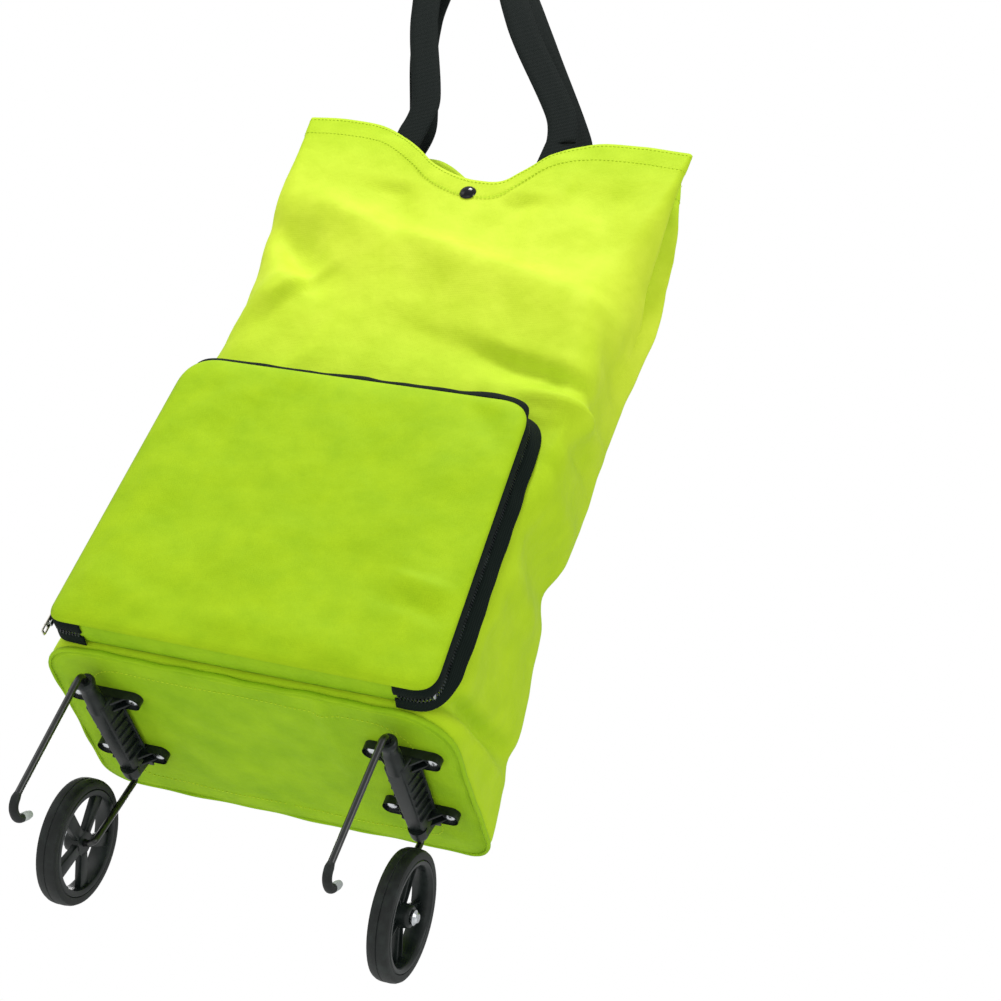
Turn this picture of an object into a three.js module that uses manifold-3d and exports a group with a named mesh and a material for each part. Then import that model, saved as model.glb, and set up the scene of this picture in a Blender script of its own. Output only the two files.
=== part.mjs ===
// Folding two-wheeled shopping trolley bag: a lime cloth tote on two bent steel wires.
// Millimetres, +Z up, front (zipped pouch) towards -Y, +X to the right.
// Origin: on the floor, under the middle of the whole bag's footprint.
import * as THREE from "three";
import { mergeVertices } from "three/addons/utils/BufferGeometryUtils.js";
import Module from "manifold-3d";

// ---- Driving dimensions -------------------------------------------------------------------
const clearance = 0.3; // between pieces that touch or are sewn together
const cloth = 1.5; // doubled, seamed polyester
const bagWidth = 310; // across the bottom
const bagDepth = 176; // front to back at the bottom
const bagHeight = 560; // bottom panel to hem
const mouthWidth = 336;
const mouthDepth = 36;
const frontHemDip = 56; // the hem hangs between the straps
const backHemDip = 28;
const gussetFold = 36; // how far the side folds in at the mouth
const foldStart = 0.35; // share of the height where that fold begins
const boardThickness = 2.5; // stiffening board in the bottom
const boardMargin = 5;

const wireDiameter = 5;
const bendRadius = 6;
const wireDrop = 14; // pivot axis below the bottom panel
const wheelTopGap = 14.3; // between a wheel and the bracket above it
const legInset = 6; // stand leg behind the bag's front
const heelInset = 34; // the wire's rear bend ahead of the bag's back
const axleLead = 16; // axle ahead of that bend
const footLength = 20;
const footRise = 5;
const footBend = 11;

const wheelDiameter = 92;
const wheelWidth = 15.5;
const wheelGap = 1.75; // between wire and wheel rim
const tyreHeight = 6.7;
const rimHeight = 5;
const hubRadius = 9;
const spokeCount = 5;
const spokeWidth = 8;
const spokeThickness = 5;
const runningGap = 0.4; // wire in its bore, before faceting
const nutDiameter = 11;
const nutHeight = 4.5;
const nutWall = 1;

const earSpread = 44;
const frontEarBack = 42; // from the stand leg
const rearEarAhead = 24; // from the wire's rear bend
const edgeMargin = 12.5; // from the outer ears to the bag's side
const earThickness = 3;
const earRadius = 6.5;
const housingWidth = 22;
const housingWall = 3.2; // plastic under the wire
const bracketEndGap = 1.5; // bracket to the start of the wire's bend

const rivetRadius = 2;
const rivetHeadRadius = 4.4;
const rivetHeadHeight = 1.8;
const clinchRadius = 3.5; // the rivet's spread end, sunk in the board's top
const clinchHeight = 0.9;

const pouchWidth = 284;
const pouchHeight = 250;
const pouchDepth = 24;
const pouchRadius = 26;
const pouchLift = 8; // seam above the bottom panel
const pouchHingeOut = 2; // hinge line in front of the bag's front
const liningThickness = 1;
const tapeThickness = 1;
const chainWidth = 3; // zip teeth, across both faces
const chainHalf = 1.8; // one row of teeth

const sliderLength = 16;
const sliderWidth = 10;
const sliderPlate = 1.5;
const bailWidth = 2;
const bailInside = 5.8;
const bailHeight = 2.6;
const bailWall = 1.1;
const pullLength = 26;
const pullWidth = 6.5;
const pullThickness = 1.1;
const pullEye = 4.2;
const pullSide = 1.1;
const sliderStart = 20; // slider's middle above the pouch seam
const stopLength = 4;
const stopThickness = 1;

const pocketZipLength = 198;
const pocketZipWidth = 20;
const pocketZipX = 9; // middle of the pocket zip from the pouch's middle
const pocketZipShare = 0.77; // its height, as a share of the pouch height
const pocketTape = 0.8;
const pocketChain = 1.4;
const pocketSliderInset = 14;

const wristStrapWidth = 15;
const wristStrapLength = 150;
const wristLayer = 0.8;
const wristSlot = 0.7;

const webbingWidth = 25;
const webbingThickness = 2;
const frontStrapSpacing = 130;
const backStrapSpacing = 150;
const handleDrop = 340;
const gripWidth = 44; // across the loop where a hand holds it
const handleLean = 22; // degrees to the left, towards the hand that holds the loop
const leanNeck = 40; // height above the hem over which the lean sets in
const twistFrom = 0.4; // shares of the way from foot to grip, where the webbing turns edge on
const twistTo = 0.95;
const tailLength = 58; // webbing sewn inside the bag
const hingeRise = 1.5; // webbing folds this far above the hem

const snapRadius = 7;
const snapDome = 3.4;
const snapPost = 2;
const snapInner = 3;
const snapInnerRadius = 6;
const snapBelowHem = 15;

// ---- Derived places -----------------------------------------------------------------------
const wheelRadius = wheelDiameter / 2;
const wireRadius = wireDiameter / 2;
const pivotZ = wheelDiameter + wheelTopGap + housingWall + wireRadius;
// Both wheels fold in side by side, which they can while pivotZ is less than bracketOffset.
const bracketOffset = bagWidth / 2 - edgeMargin - earRadius - earSpread / 2;
const panelZ = pivotZ + wireDrop;
const wallZ = panelZ + cloth + clearance;
const hemZ = panelZ + bagHeight;
const frontY = -bagDepth / 2;
const legY = frontY + legInset;
const heelY = bagDepth / 2 - heelInset;
const axleY = heelY - axleLead;
const frontEarY = legY + frontEarBack;
const rearEarY = heelY - rearEarAhead;
const leanAngle = Math.atan((bagDepth - mouthDepth) / (hemZ - wallZ));
const backWallZ = wallZ + cloth * Math.sin(leanAngle);
const backWallHeight = (hemZ - backWallZ) / Math.cos(leanAngle);
const backInset = cloth / Math.cos(leanAngle) + clearance;
const boardZ = panelZ + cloth + clearance;
const seamZ = panelZ + pouchLift;
const flapY = frontY - pouchDepth;
const tapeDepth = (pouchDepth - cloth - 5 * clearance - 2 * chainHalf) / 2;
const bodyChainY = frontY - 2 * clearance - tapeDepth;
const liningY = flapY + cloth + clearance;
const wheelX = wireRadius + wheelGap + wheelWidth / 2; // from the wire's own plane
const axleEnd = wheelX + wheelWidth / 2 + clearance + nutHeight - nutWall - clearance;
const boreRadius = wireRadius + runningGap;
const clinchZ = boardZ + boardThickness - clearance - clinchHeight;

// ---- Materials ----------------------------------------------------------------------------
const finishes = {
  limeCloth: [0xb4d62a, 0.85, 0],
  blackWebbing: [0x16201d, 0.9, 0],
  blackTape: [0x1c2623, 0.9, 0],
  zipTeeth: [0x20282a, 0.45, 0],
  blackPlastic: [0x161b1a, 0.5, 0],
  blackRubber: [0x1d2422, 0.8, 0],
  paintedSteel: [0x17191a, 0.35, 0.4],
  brightSteel: [0xc9ccd0, 0.25, 1],
  glossPlastic: [0x0a0d12, 0.15, 0],
  boardPlastic: [0x2b2f2e, 0.7, 0],
};

const material = (finish) => {
  const [color, roughness, metalness] = finishes[finish];
  return new THREE.MeshStandardMaterial({ color, roughness, metalness });
};

const named = (name, finish, geometry) => {
  const mesh = new THREE.Mesh(geometry, material(finish));
  mesh.name = name;
  return mesh;
};

// ---- Joining and cutting ------------------------------------------------------------------
const wasm = await Module();
wasm.setup();

function solidOf(geometry) {
  const bare = geometry.clone();
  bare.deleteAttribute("normal");
  bare.deleteAttribute("uv");
  const merged = mergeVertices(bare, 1e-4);
  const vertProperties = merged.attributes.position.array;
  const triVerts = new Uint32Array(merged.index.array);
  return new wasm.Manifold(new wasm.Mesh({ numProp: 3, vertProperties, triVerts }));
}

function geometryOf(solid) {
  const mesh = solid.getMesh();
  const geometry = new THREE.BufferGeometry();
  geometry.setAttribute("position", new THREE.BufferAttribute(mesh.vertProperties, 3));
  geometry.setIndex(new THREE.BufferAttribute(mesh.triVerts, 1));
  return geometry;
}

const joined = (first, ...rest) =>
  geometryOf(rest.reduce((solid, next) => solid.add(solidOf(next)), solidOf(first)));

const cut = (first, ...tools) =>
  geometryOf(tools.reduce((solid, next) => solid.subtract(solidOf(next)), solidOf(first)));

// ---- Basic shapes -------------------------------------------------------------------------
const box = (from, to) => {
  const size = to.map((end, i) => end - from[i]);
  const geometry = new THREE.BoxGeometry(...size);
  return geometry.translate(...from.map((start, i) => start + size[i] / 2));
};

// A round bar along Z from one height to another.
const bar = (radius, fromZ, toZ, x = 0, y = 0, sides = 16) =>
  new THREE.CylinderGeometry(radius, radius, toZ - fromZ, sides)
    .rotateX(Math.PI / 2)
    .translate(x, y, (fromZ + toZ) / 2);

// A turned piece about Z from [radius, height] points that start and end on the axis.
const turned = (points, sides) =>
  new THREE.LatheGeometry(points.map(([r, z]) => new THREE.Vector2(r, z)), sides)
    .rotateX(Math.PI / 2);

// An outline in X and Z, given thickness from fromY to toY.
const slab = (shape, fromY, toY, curveSegments = 8) =>
  new THREE.ExtrudeGeometry(shape, { depth: toY - fromY, bevelEnabled: false, curveSegments })
    .rotateX(Math.PI / 2)
    .translate(0, toY, 0);

// A flat strip of cells, placed by a function of its two shares (0 to 1) and its thickness.
function placedSheet(columns, rows, place) {
  const geometry = new THREE.BoxGeometry(1, 1, 1, columns, 1, rows);
  const position = geometry.attributes.position;
  const point = new THREE.Vector3();
  for (let i = 0; i < position.count; i += 1) {
    point.fromBufferAttribute(position, i);
    const placed = place(point.x + 0.5, point.z + 0.5, point.y);
    position.setXYZ(i, ...placed);
  }
  return geometry;
}

// ---- Bag ----------------------------------------------------------------------------------
const heightShare = (z) => (z - panelZ) / bagHeight;
const halfWidth = (z) => THREE.MathUtils.lerp(bagWidth, mouthWidth, heightShare(z)) / 2;
const backY = (z) => bagDepth / 2 - Math.tan(leanAngle) * (z - backWallZ);

// How far the hem hangs at x, between straps that stand spacing apart.
function hemDip(x, dip, spacing) {
  const reach = (spacing - webbingWidth) / 2;
  return Math.abs(x) < reach ? dip * Math.cos((Math.PI * x) / (2 * reach)) ** 2 : 0;
}

// A hole along Y through the cloth, for a snap post.
const postHole = (y, z) =>
  bar(snapPost + clearance, -cloth * 2, cloth * 2).rotateX(Math.PI / 2).translate(0, y, z);

const frontSnapZ = hemZ - frontHemDip - snapBelowHem;
const backSnapUp = backWallHeight - backHemDip - snapBelowHem; // along the leaning back wall

function frontPanel() {
  const sheet = placedSheet(16, 4, (across, up, through) => {
    const side = across * 2 - 1;
    const top = hemZ - hemDip(side * halfWidth(hemZ), frontHemDip, frontStrapSpacing);
    const z = THREE.MathUtils.lerp(wallZ, top, up);
    return [side * halfWidth(z), frontY + cloth * (0.5 + through), z];
  });
  return named("front_panel", "limeCloth", cut(sheet, postHole(frontY, frontSnapZ)));
}

// Drawn upright from z = 0 with its outer face at y = 0; its group leans it forward.
function backPanel() {
  const sheet = placedSheet(16, 4, (across, up, through) => {
    const side = across * 2 - 1;
    const reach = side * halfWidth(hemZ);
    const top = backWallHeight - hemDip(reach, backHemDip, backStrapSpacing);
    const z = top * up;
    const width = halfWidth(backWallZ + z * Math.cos(leanAngle));
    return [side * width, cloth * (through - 0.5), z];
  });
  return named("back_panel", "limeCloth", cut(sheet, postHole(0, backSnapUp)));
}

function gusset(name, side) {
  const sheet = placedSheet(6, 10, (across, up, through) => {
    const z = THREE.MathUtils.lerp(wallZ, hemZ, up);
    const start = frontY + cloth + clearance;
    const end = backY(z) - backInset;
    const grown = THREE.MathUtils.smoothstep(heightShare(z), foldStart, 1);
    const inwards = gussetFold * grown * (1 - Math.abs(2 * across - 1));
    const x = side * (halfWidth(z) - cloth / 2 - inwards) - through * cloth;
    return [x, THREE.MathUtils.lerp(start, end, across), z];
  });
  return named(name, "limeCloth", sheet);
}

const rivetPlaces = [-1, 1].flatMap((side) =>
  [-1, 1].flatMap((ear) =>
    [frontEarY, rearEarY].map((y) => [side * bracketOffset + (ear * earSpread) / 2, y]),
  ),
);

const rivetHoles = (radius, fromZ, toZ) =>
  rivetPlaces.map(([x, y]) => bar(radius, fromZ, toZ, x, y, 12));

function bottomPanel() {
  const sheet = box([-bagWidth / 2, frontY, panelZ], [bagWidth / 2, bagDepth / 2, panelZ + cloth]);
  const holes = rivetHoles(rivetRadius + runningGap, panelZ - 1, boardZ);
  return named("bottom_panel", "limeCloth", cut(sheet, ...holes));
}

function baseBoard() {
  const x = bagWidth / 2 - cloth - boardMargin;
  const y = bagDepth / 2 - cloth - boardMargin;
  const top = boardZ + boardThickness;
  const board = box([-x, -y, boardZ], [x, y, top]);
  const holes = rivetHoles(rivetRadius + runningGap, boardZ - 1, top);
  const sinks = rivetHoles(clinchRadius + clearance, clinchZ - clearance, top + 1);
  return named("base_board", "boardPlastic", cut(board, ...holes, ...sinks));
}

// ---- Brackets, rivets, wires and wheels ---------------------------------------------------
const bracketFront = legY + bendRadius + bracketEndGap;
const bracketRear = heelY - bendRadius - bracketEndGap;

// Local frame: wire axis along Y at x = 0, top face at z = 0.
function bracket(name) {
  const axisZ = -wireDrop + clearance;
  const half = housingWidth / 2;
  const low = axisZ - wireRadius - housingWall;
  const outline = new THREE.Shape([
    new THREE.Vector2(-half, 0),
    new THREE.Vector2(-half, axisZ + wireRadius),
    new THREE.Vector2(-half * 0.55, low),
    new THREE.Vector2(half * 0.55, low),
    new THREE.Vector2(half, axisZ + wireRadius),
    new THREE.Vector2(half, 0),
  ]);
  const housing = slab(outline, frontEarY - earRadius, bracketRear);
  const collarRadius = wireRadius + housingWall;
  const collar = bar(collarRadius, bracketFront, bracketRear)
    .rotateX(-Math.PI / 2)
    .translate(0, 0, axisZ);
  const ears = [frontEarY, rearEarY].flatMap((y) => [
    box([-earSpread / 2, y - earRadius, -earThickness], [earSpread / 2, y + earRadius, 0]),
    bar(earRadius, -earThickness, 0, -earSpread / 2, y),
    bar(earRadius, -earThickness, 0, earSpread / 2, y),
  ]);
  const body = joined(housing, collar, ...ears);
  const bore = bar(boreRadius, bracketFront - 1, bracketRear + 1)
    .rotateX(-Math.PI / 2)
    .translate(0, 0, axisZ);
  const holes = [frontEarY, rearEarY].flatMap((y) =>
    [-1, 1].map((ear) =>
      bar(rivetRadius + runningGap, -earThickness - 1, 1, (ear * earSpread) / 2, y, 12),
    ),
  );
  return named(name, "blackPlastic", cut(body, bore, ...holes));
}

// Local frame: z = 0 at the bottom panel's underside; the dome hangs below the bracket's ear.
function rivet(name) {
  const earUnder = -clearance - earThickness - clearance;
  const clinchUnder = clinchZ - panelZ;
  const profile = [
    [0, earUnder - rivetHeadHeight],
    [rivetHeadRadius * 0.6, earUnder - rivetHeadHeight * 0.8],
    [rivetHeadRadius, earUnder],
    [rivetRadius, earUnder],
    [rivetRadius, clinchUnder],
    [clinchRadius, clinchUnder],
    [clinchRadius * 0.9, clinchUnder + clinchHeight],
    [0, clinchUnder + clinchHeight],
  ];
  return named(name, "brightSteel", turned(profile, 12));
}

// The bent wire, drawn for the right-hand side (+X) with its pivot axis in the plane x = 0.
function wire(name, side) {
  const at = (x, y, z) => new THREE.Vector3(side * x, y, z);
  const path = new THREE.CurvePath();
  const bend = (from, corner, to) =>
    path.add(new THREE.QuadraticBezierCurve3(at(...from), at(...corner), at(...to)));
  const straight = (from, to) => path.add(new THREE.LineCurve3(at(...from), at(...to)));
  const low = wireRadius;
  const footBack = legY + footBend;
  const tip = [0, legY + footLength, low + footRise];
  const kneeY = legY + bendRadius;
  const drop = at(0, axleY - heelY, wheelRadius - pivotZ).normalize().multiplyScalar(bendRadius);
  const heelOut = [0, heelY + drop.y, pivotZ + drop.z];
  const axleIn = [0, axleY - drop.y, wheelRadius - drop.z];
  bend(tip, [0, (footBack + tip[1]) / 2, low], [0, footBack, low]);
  bend([0, footBack, low], [0, legY, low], [0, legY, low + footBend]);
  straight([0, legY, low + footBend], [0, legY, pivotZ - bendRadius]);
  bend([0, legY, pivotZ - bendRadius], [0, legY, pivotZ], [0, kneeY, pivotZ]);
  straight([0, kneeY, pivotZ], [0, heelY - bendRadius, pivotZ]);
  bend([0, heelY - bendRadius, pivotZ], [0, heelY, pivotZ], heelOut);
  straight(heelOut, axleIn);
  const axleStart = [bendRadius, axleY, wheelRadius];
  bend(axleIn, [0, axleY, wheelRadius], axleStart);
  straight(axleStart, [axleEnd, axleY, wheelRadius]);
  const section = new THREE.Shape();
  section.absarc(0, 0, wireRadius, 0, Math.PI * 2);
  const geometry = new THREE.ExtrudeGeometry(section, {
    steps: 96,
    extrudePath: path,
    curveSegments: 5,
  });
  return named(name, "paintedSteel", geometry);
}

const outwards = (geometry, side) => geometry.rotateY((side * Math.PI) / 2);

// Local frame of wheel pieces: Z runs outwards along the axle, z = 0 at the wheel's middle.
function wheel(name, side) {
  const half = wheelWidth / 2;
  const rimOut = wheelRadius - tyreHeight - clearance;
  const rimIn = rimOut - rimHeight;
  const rim = cut(bar(rimOut, -half, half, 0, 0, 40), bar(rimIn, -half - 1, half + 1, 0, 0, 40));
  const hubStart = bendRadius + clearance * 2 - wheelX;
  const hub = bar(hubRadius, hubStart, half, 0, 0, 24);
  const spokes = Array.from({ length: spokeCount }, (_, i) =>
    box(
      [hubRadius / 2, -spokeWidth / 2, hubStart],
      [rimIn + rimHeight / 2, spokeWidth / 2, hubStart + spokeThickness],
    ).rotateZ((i * 2 * Math.PI) / spokeCount),
  );
  const body = joined(rim, hub, ...spokes);
  const bore = bar(boreRadius, hubStart - 1, half + 1);
  return named(name, "blackPlastic", outwards(cut(body, bore), side));
}

function tyre(name, side) {
  const half = wheelWidth / 2;
  const inner = wheelRadius - tyreHeight;
  const shoulder = 3;
  const profile = [
    [inner, -half],
    [wheelRadius - shoulder, -half],
    [wheelRadius - shoulder * 0.3, -half + shoulder * 0.3],
    [wheelRadius, -half + shoulder],
    [wheelRadius, half - shoulder],
    [wheelRadius - shoulder * 0.3, half - shoulder * 0.3],
    [wheelRadius - shoulder, half],
    [inner, half],
    [inner, -half],
  ];
  return named(name, "blackRubber", outwards(turned(profile, 48), side));
}

// A pressed cap over the axle's end, open towards the wheel.
function pushNut(name, side) {
  const radius = nutDiameter / 2;
  const profile = [
    [boreRadius, 0],
    [radius, 0],
    [radius, nutHeight * 0.35],
    [radius * 0.6, nutHeight],
    [0, nutHeight],
    [0, nutHeight - nutWall],
    [boreRadius, nutHeight - nutWall],
    [boreRadius, 0],
  ];
  return named(name, "brightSteel", outwards(turned(profile, 20), side));
}

// ---- Pouch --------------------------------------------------------------------------------
const pouchHalf = pouchWidth / 2;
const pouchTop = seamZ + pouchHeight;

// A rounded arch outline: up the left side, over the top, down the right side.
function archPath(shape, inset, foot, reversed) {
  const half = pouchHalf - inset;
  const top = pouchTop - inset;
  const radius = pouchRadius - inset;
  const right = [half - radius, top - radius, radius, Math.PI / 2, 0];
  const left = [radius - half, top - radius, radius, Math.PI, Math.PI / 2];
  if (reversed) {
    shape.lineTo(half, foot);
    shape.absarc(...right.slice(0, 3), 0, Math.PI / 2, false);
    shape.absarc(...left.slice(0, 3), Math.PI / 2, Math.PI, false);
    shape.lineTo(-half, foot);
    return;
  }
  shape.moveTo(-half, foot);
  shape.absarc(...left, true);
  shape.absarc(...right, true);
  shape.lineTo(half, foot);
}

function archBand(inset, thickness, fromY, toY) {
  const foot = seamZ + cloth + clearance;
  const shape = new THREE.Shape();
  archPath(shape, inset, foot, false);
  archPath(shape, inset + thickness, foot, true);
  return slab(shape, fromY, toY, 6);
}

function archPlate(inset, fromY, toY) {
  const shape = new THREE.Shape();
  archPath(shape, inset, seamZ + cloth + clearance, false);
  return slab(shape, fromY, toY, 6);
}

const chainInset = (tapeThickness - chainWidth) / 2;

function pouchShell() {
  const stripStart = flapY;
  const stripEnd = frontY - pouchHingeOut;
  const strip = box([-pouchHalf, stripStart, seamZ], [pouchHalf, stripEnd, seamZ + cloth]);
  const flapChainY = bodyChainY - chainHalf - clearance;
  const flapTapeY = flapChainY - chainHalf - clearance;
  return [
    named("pouch_flap", "limeCloth", archPlate(0, flapY, flapY + cloth)),
    named("pouch_bottom_strip", "limeCloth", strip),
    named(
      "pouch_lining",
      "limeCloth",
      archPlate(tapeThickness + clearance, liningY, liningY + liningThickness),
    ),
    named(
      "zip_tape_flap",
      "blackTape",
      archBand(0, tapeThickness, flapTapeY - tapeDepth, flapTapeY),
    ),
    named(
      "zip_teeth_flap",
      "zipTeeth",
      archBand(chainInset, chainWidth, flapChainY - chainHalf, flapChainY),
    ),
  ];
}

function pouchFixedZip() {
  const tapeEnd = frontY - clearance;
  return [
    named(
      "zip_tape_body",
      "blackTape",
      archBand(0, tapeThickness, tapeEnd - tapeDepth, tapeEnd),
    ),
    named(
      "zip_teeth_body",
      "zipTeeth",
      archBand(chainInset, chainWidth, bodyChainY - chainHalf, bodyChainY),
    ),
  ];
}

// Slider body: a plate with an arched bail. Local frame: Z out of the zip, X along its travel.
function slider(name) {
  const half = bailInside / 2 + bailWall;
  const halfLength = sliderLength / 2;
  const halfSlider = sliderWidth / 2;
  const plate = box([-halfLength, -halfSlider, 0], [halfLength, halfSlider, sliderPlate]);
  const archTop = sliderPlate + bailHeight + bailWall;
  const arch = box([-half, -bailWidth / 2, 0], [half, bailWidth / 2, archTop]);
  const eye = box(
    [-bailInside / 2, -bailWidth, sliderPlate],
    [bailInside / 2, bailWidth, sliderPlate + bailHeight],
  );
  return named(name, "brightSteel", joined(plate, cut(arch, eye)));
}

// Pull tab: a flat tab hung by a cross bar on the bail. Its bar lies along Y at the origin.
function pullTab(name) {
  const half = pullThickness / 2;
  const tab = box([-half, -pullWidth / 2, -half], [pullLength, pullWidth / 2, half]);
  const eyeHalf = pullWidth / 2 - pullSide;
  const eye = box([half, -eyeHalf, -half * 2], [half + pullEye, eyeHalf, half * 2]);
  return named(name, "brightSteel", cut(tab, eye));
}

function zipStop(name, side) {
  const reach = chainHalf + clearance / 2;
  const middleY = bodyChainY - reach;
  const near = pouchHalf - chainInset + clearance;
  const middleX = side * (near + stopThickness / 2);
  const bottom = seamZ + cloth + clearance;
  const stop = new THREE.BoxGeometry(stopThickness, 2 * reach, stopLength);
  return named(name, "brightSteel", stop.translate(middleX, middleY, bottom + stopLength / 2));
}

// ---- Pocket zip and wrist strap inside the pouch ------------------------------------------
const pocketZ = seamZ + pouchHeight * pocketZipShare;
const pocketTapeY = liningY + liningThickness + clearance;
const pocketChainY = pocketTapeY + pocketTape + clearance;

function pocketZip() {
  const half = pocketZipLength / 2;
  const tape = box(
    [pocketZipX - half, pocketTapeY, pocketZ - pocketZipWidth / 2],
    [pocketZipX + half, pocketTapeY + pocketTape, pocketZ + pocketZipWidth / 2],
  );
  const chain = box(
    [pocketZipX - half, pocketChainY, pocketZ - chainWidth / 2],
    [pocketZipX + half, pocketChainY + pocketChain, pocketZ + chainWidth / 2],
  );
  return [named("pocket_zip_tape", "blackTape", tape), named("pocket_zip_teeth", "zipTeeth", chain)];
}

// One strip folded back on itself: a hairpin outline in X and Y, drawn at the strip's width.
function wristStrap() {
  const start = -pouchHalf + pouchRadius / 2;
  const end = start + wristStrapLength;
  const near = liningY + liningThickness + clearance;
  const far = near + 2 * wristLayer + wristSlot;
  const bottom = seamZ + 2 * cloth;
  const outer = box([start, near, bottom], [end, far, bottom + wristStrapWidth]);
  const slot = box(
    [start - 1, near + wristLayer, bottom - 1],
    [end - wristLayer, far - wristLayer, bottom + wristStrapWidth + 1],
  );
  return named("wrist_strap", "limeCloth", cut(outer, slot));
}

// ---- Handles ------------------------------------------------------------------------------
// A loop of webbing: flat against the bag at its feet, turned a quarter round at the grip.
const leanSlope = (z) =>
  Math.tan(THREE.MathUtils.degToRad(handleLean)) * THREE.MathUtils.clamp(z / leanNeck, 0, 1);
const leanShift = (z) =>
  z < leanNeck ? (leanSlope(z) * z) / 2 : leanSlope(z) * (z - leanNeck / 2);

function handleLoop(name, spacing, y) {
  const foot = spacing / 2;
  const grip = gripWidth / 2;
  const rise = handleDrop - grip - hingeRise;
  const path = new THREE.CurvePath();
  const at = (x, z) => new THREE.Vector3(x, 0, z);
  const shoulder = rise + grip * 0.05;
  path.add(new THREE.LineCurve3(at(-foot, 0), at(-grip, rise)));
  path.add(
    new THREE.CubicBezierCurve3(
      at(-grip, rise),
      at(-grip * 0.9, shoulder + grip * 1.2),
      at(grip * 0.9, shoulder + grip * 1.2),
      at(grip, rise),
    ),
  );
  path.add(new THREE.LineCurve3(at(grip, rise), at(foot, 0)));
  const strip = placedSheet(1, 56, (across, along, through) => {
    const point = path.getPointAt(along);
    const tangent = path.getTangentAt(along);
    tangent.x -= leanSlope(point.z) * tangent.z;
    tangent.normalize();
    point.x -= leanShift(point.z);
    const fromFoot = 1 - Math.abs(2 * along - 1);
    const turn = (Math.PI / 2) * THREE.MathUtils.smoothstep(fromFoot, twistFrom, twistTo);
    const mirrored = along > 0.5 ? Math.PI - turn : turn;
    const flat = new THREE.Vector3(tangent.z, 0, -tangent.x);
    const wide = flat.multiplyScalar(Math.cos(mirrored));
    wide.y = Math.sin(mirrored);
    const thick = new THREE.Vector3().crossVectors(tangent, wide);
    point.addScaledVector(wide, (across - 0.5) * webbingWidth);
    point.addScaledVector(thick, through * webbingThickness);
    return [point.x, point.y, point.z];
  });
  strip.translate(0, y, hemZ + hingeRise);
  return named(name, "blackWebbing", strip);
}

// Sewn webbing below the hem, against a wall whose inner face is at innerY.
function strapTail(name, x, innerY, inwards, hem) {
  const near = innerY + inwards * clearance;
  const far = near + inwards * webbingThickness;
  const half = webbingWidth / 2;
  const tail = box(
    [x - half, Math.min(near, far), hem - tailLength],
    [x + half, Math.max(near, far), hem - clearance],
  );
  return named(name, "blackWebbing", tail);
}

// ---- Snap fastener ------------------------------------------------------------------------
// Local frame: Z points out of the bag, z = 0 on the cloth's outer face.
function snapCap(name) {
  const profile = [
    [0, -cloth - clearance - snapInner / 2],
    [snapPost, -cloth - clearance - snapInner / 2],
    [snapPost, clearance],
    [snapRadius, clearance],
    [snapRadius, clearance + snapDome * 0.25],
    [snapRadius * 0.8, clearance + snapDome * 0.7],
    [snapRadius * 0.45, clearance + snapDome * 0.95],
    [0, clearance + snapDome],
  ];
  return named(name, "glossPlastic", turned(profile, 20));
}

const snapInside = -cloth - clearance;

function snapSocket(name) {
  const hole = snapPost + clearance;
  const profile = [
    [hole, snapInside - snapInner],
    [snapInnerRadius, snapInside - snapInner],
    [snapInnerRadius, snapInside],
    [hole, snapInside],
    [hole, snapInside - snapInner],
  ];
  return named(name, "glossPlastic", turned(profile, 20));
}

function snapStud(name) {
  const hole = snapPost + clearance;
  const floor = snapInside - snapInner / 2 - clearance;
  const profile = [
    [0, snapInside - snapInner * 1.6],
    [snapPost * 0.9, snapInside - snapInner * 1.6],
    [snapPost * 1.1, snapInside - snapInner],
    [snapInnerRadius, snapInside - snapInner * 0.7],
    [snapInnerRadius, snapInside],
    [hole, snapInside],
    [hole, floor],
    [0, floor],
  ];
  return named(name, "glossPlastic", turned(profile, 20));
}

// ---- Assembly -----------------------------------------------------------------------------
const trolleyBag = new THREE.Group();
const bag = new THREE.Group();
bag.position.y = pouchDepth / 2; // centres the footprint on the origin
trolleyBag.add(bag);

bag.add(frontPanel(), gusset("left_gusset", -1), gusset("right_gusset", 1));
bag.add(bottomPanel(), baseBoard());

const backWall = new THREE.Group();
backWall.position.set(0, bagDepth / 2, backWallZ);
backWall.rotation.x = leanAngle;
backWall.add(backPanel());
bag.add(backWall);

const placed = (mesh, x, y, z) => {
  mesh.position.set(x, y, z);
  return mesh;
};

for (const [word, side] of [["left", -1], ["right", 1]]) {
  bag.add(placed(bracket(`bracket_${word}`), side * bracketOffset, 0, panelZ - clearance));
  bag.add(placed(wire(`wire_leg_${word}`, side), side * bracketOffset, 0, 0));
  const hubAt = [side * (bracketOffset + wheelX), axleY, wheelRadius];
  bag.add(placed(wheel(`wheel_${word}`, side), ...hubAt));
  bag.add(placed(tyre(`tyre_${word}`, side), ...hubAt));
  const nutX = bracketOffset + wheelX + wheelWidth / 2 + clearance;
  bag.add(placed(pushNut(`push_nut_${word}`, side), side * nutX, axleY, wheelRadius));
}

rivetPlaces.forEach(([x, y], i) => {
  bag.add(placed(rivet(`rivet_${i + 1}`), x, y, panelZ));
});

bag.add(...pouchShell(), ...pouchFixedZip(), ...pocketZip(), wristStrap());
bag.add(zipStop("zip_end_stop", -1), zipStop("zip_start_stop", 1));

// Main slider on the left side of the pouch, its tab hanging straight down.
const zipMiddleY = bodyChainY - chainHalf - clearance / 2;
const sliderZ = seamZ + sliderStart;
const sideZip = new THREE.Group();
sideZip.position.set(-pouchHalf + chainInset - clearance, zipMiddleY, sliderZ);
sideZip.rotation.set(0, -Math.PI / 2, 0);
const tabHeight = sliderPlate + bailHeight / 2;
const sideTab = placed(pullTab("zip_pull"), 0, 0, tabHeight);
sideTab.rotation.z = Math.PI;
sideZip.add(slider("zip_slider"), sideTab);
bag.add(sideZip);

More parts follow.
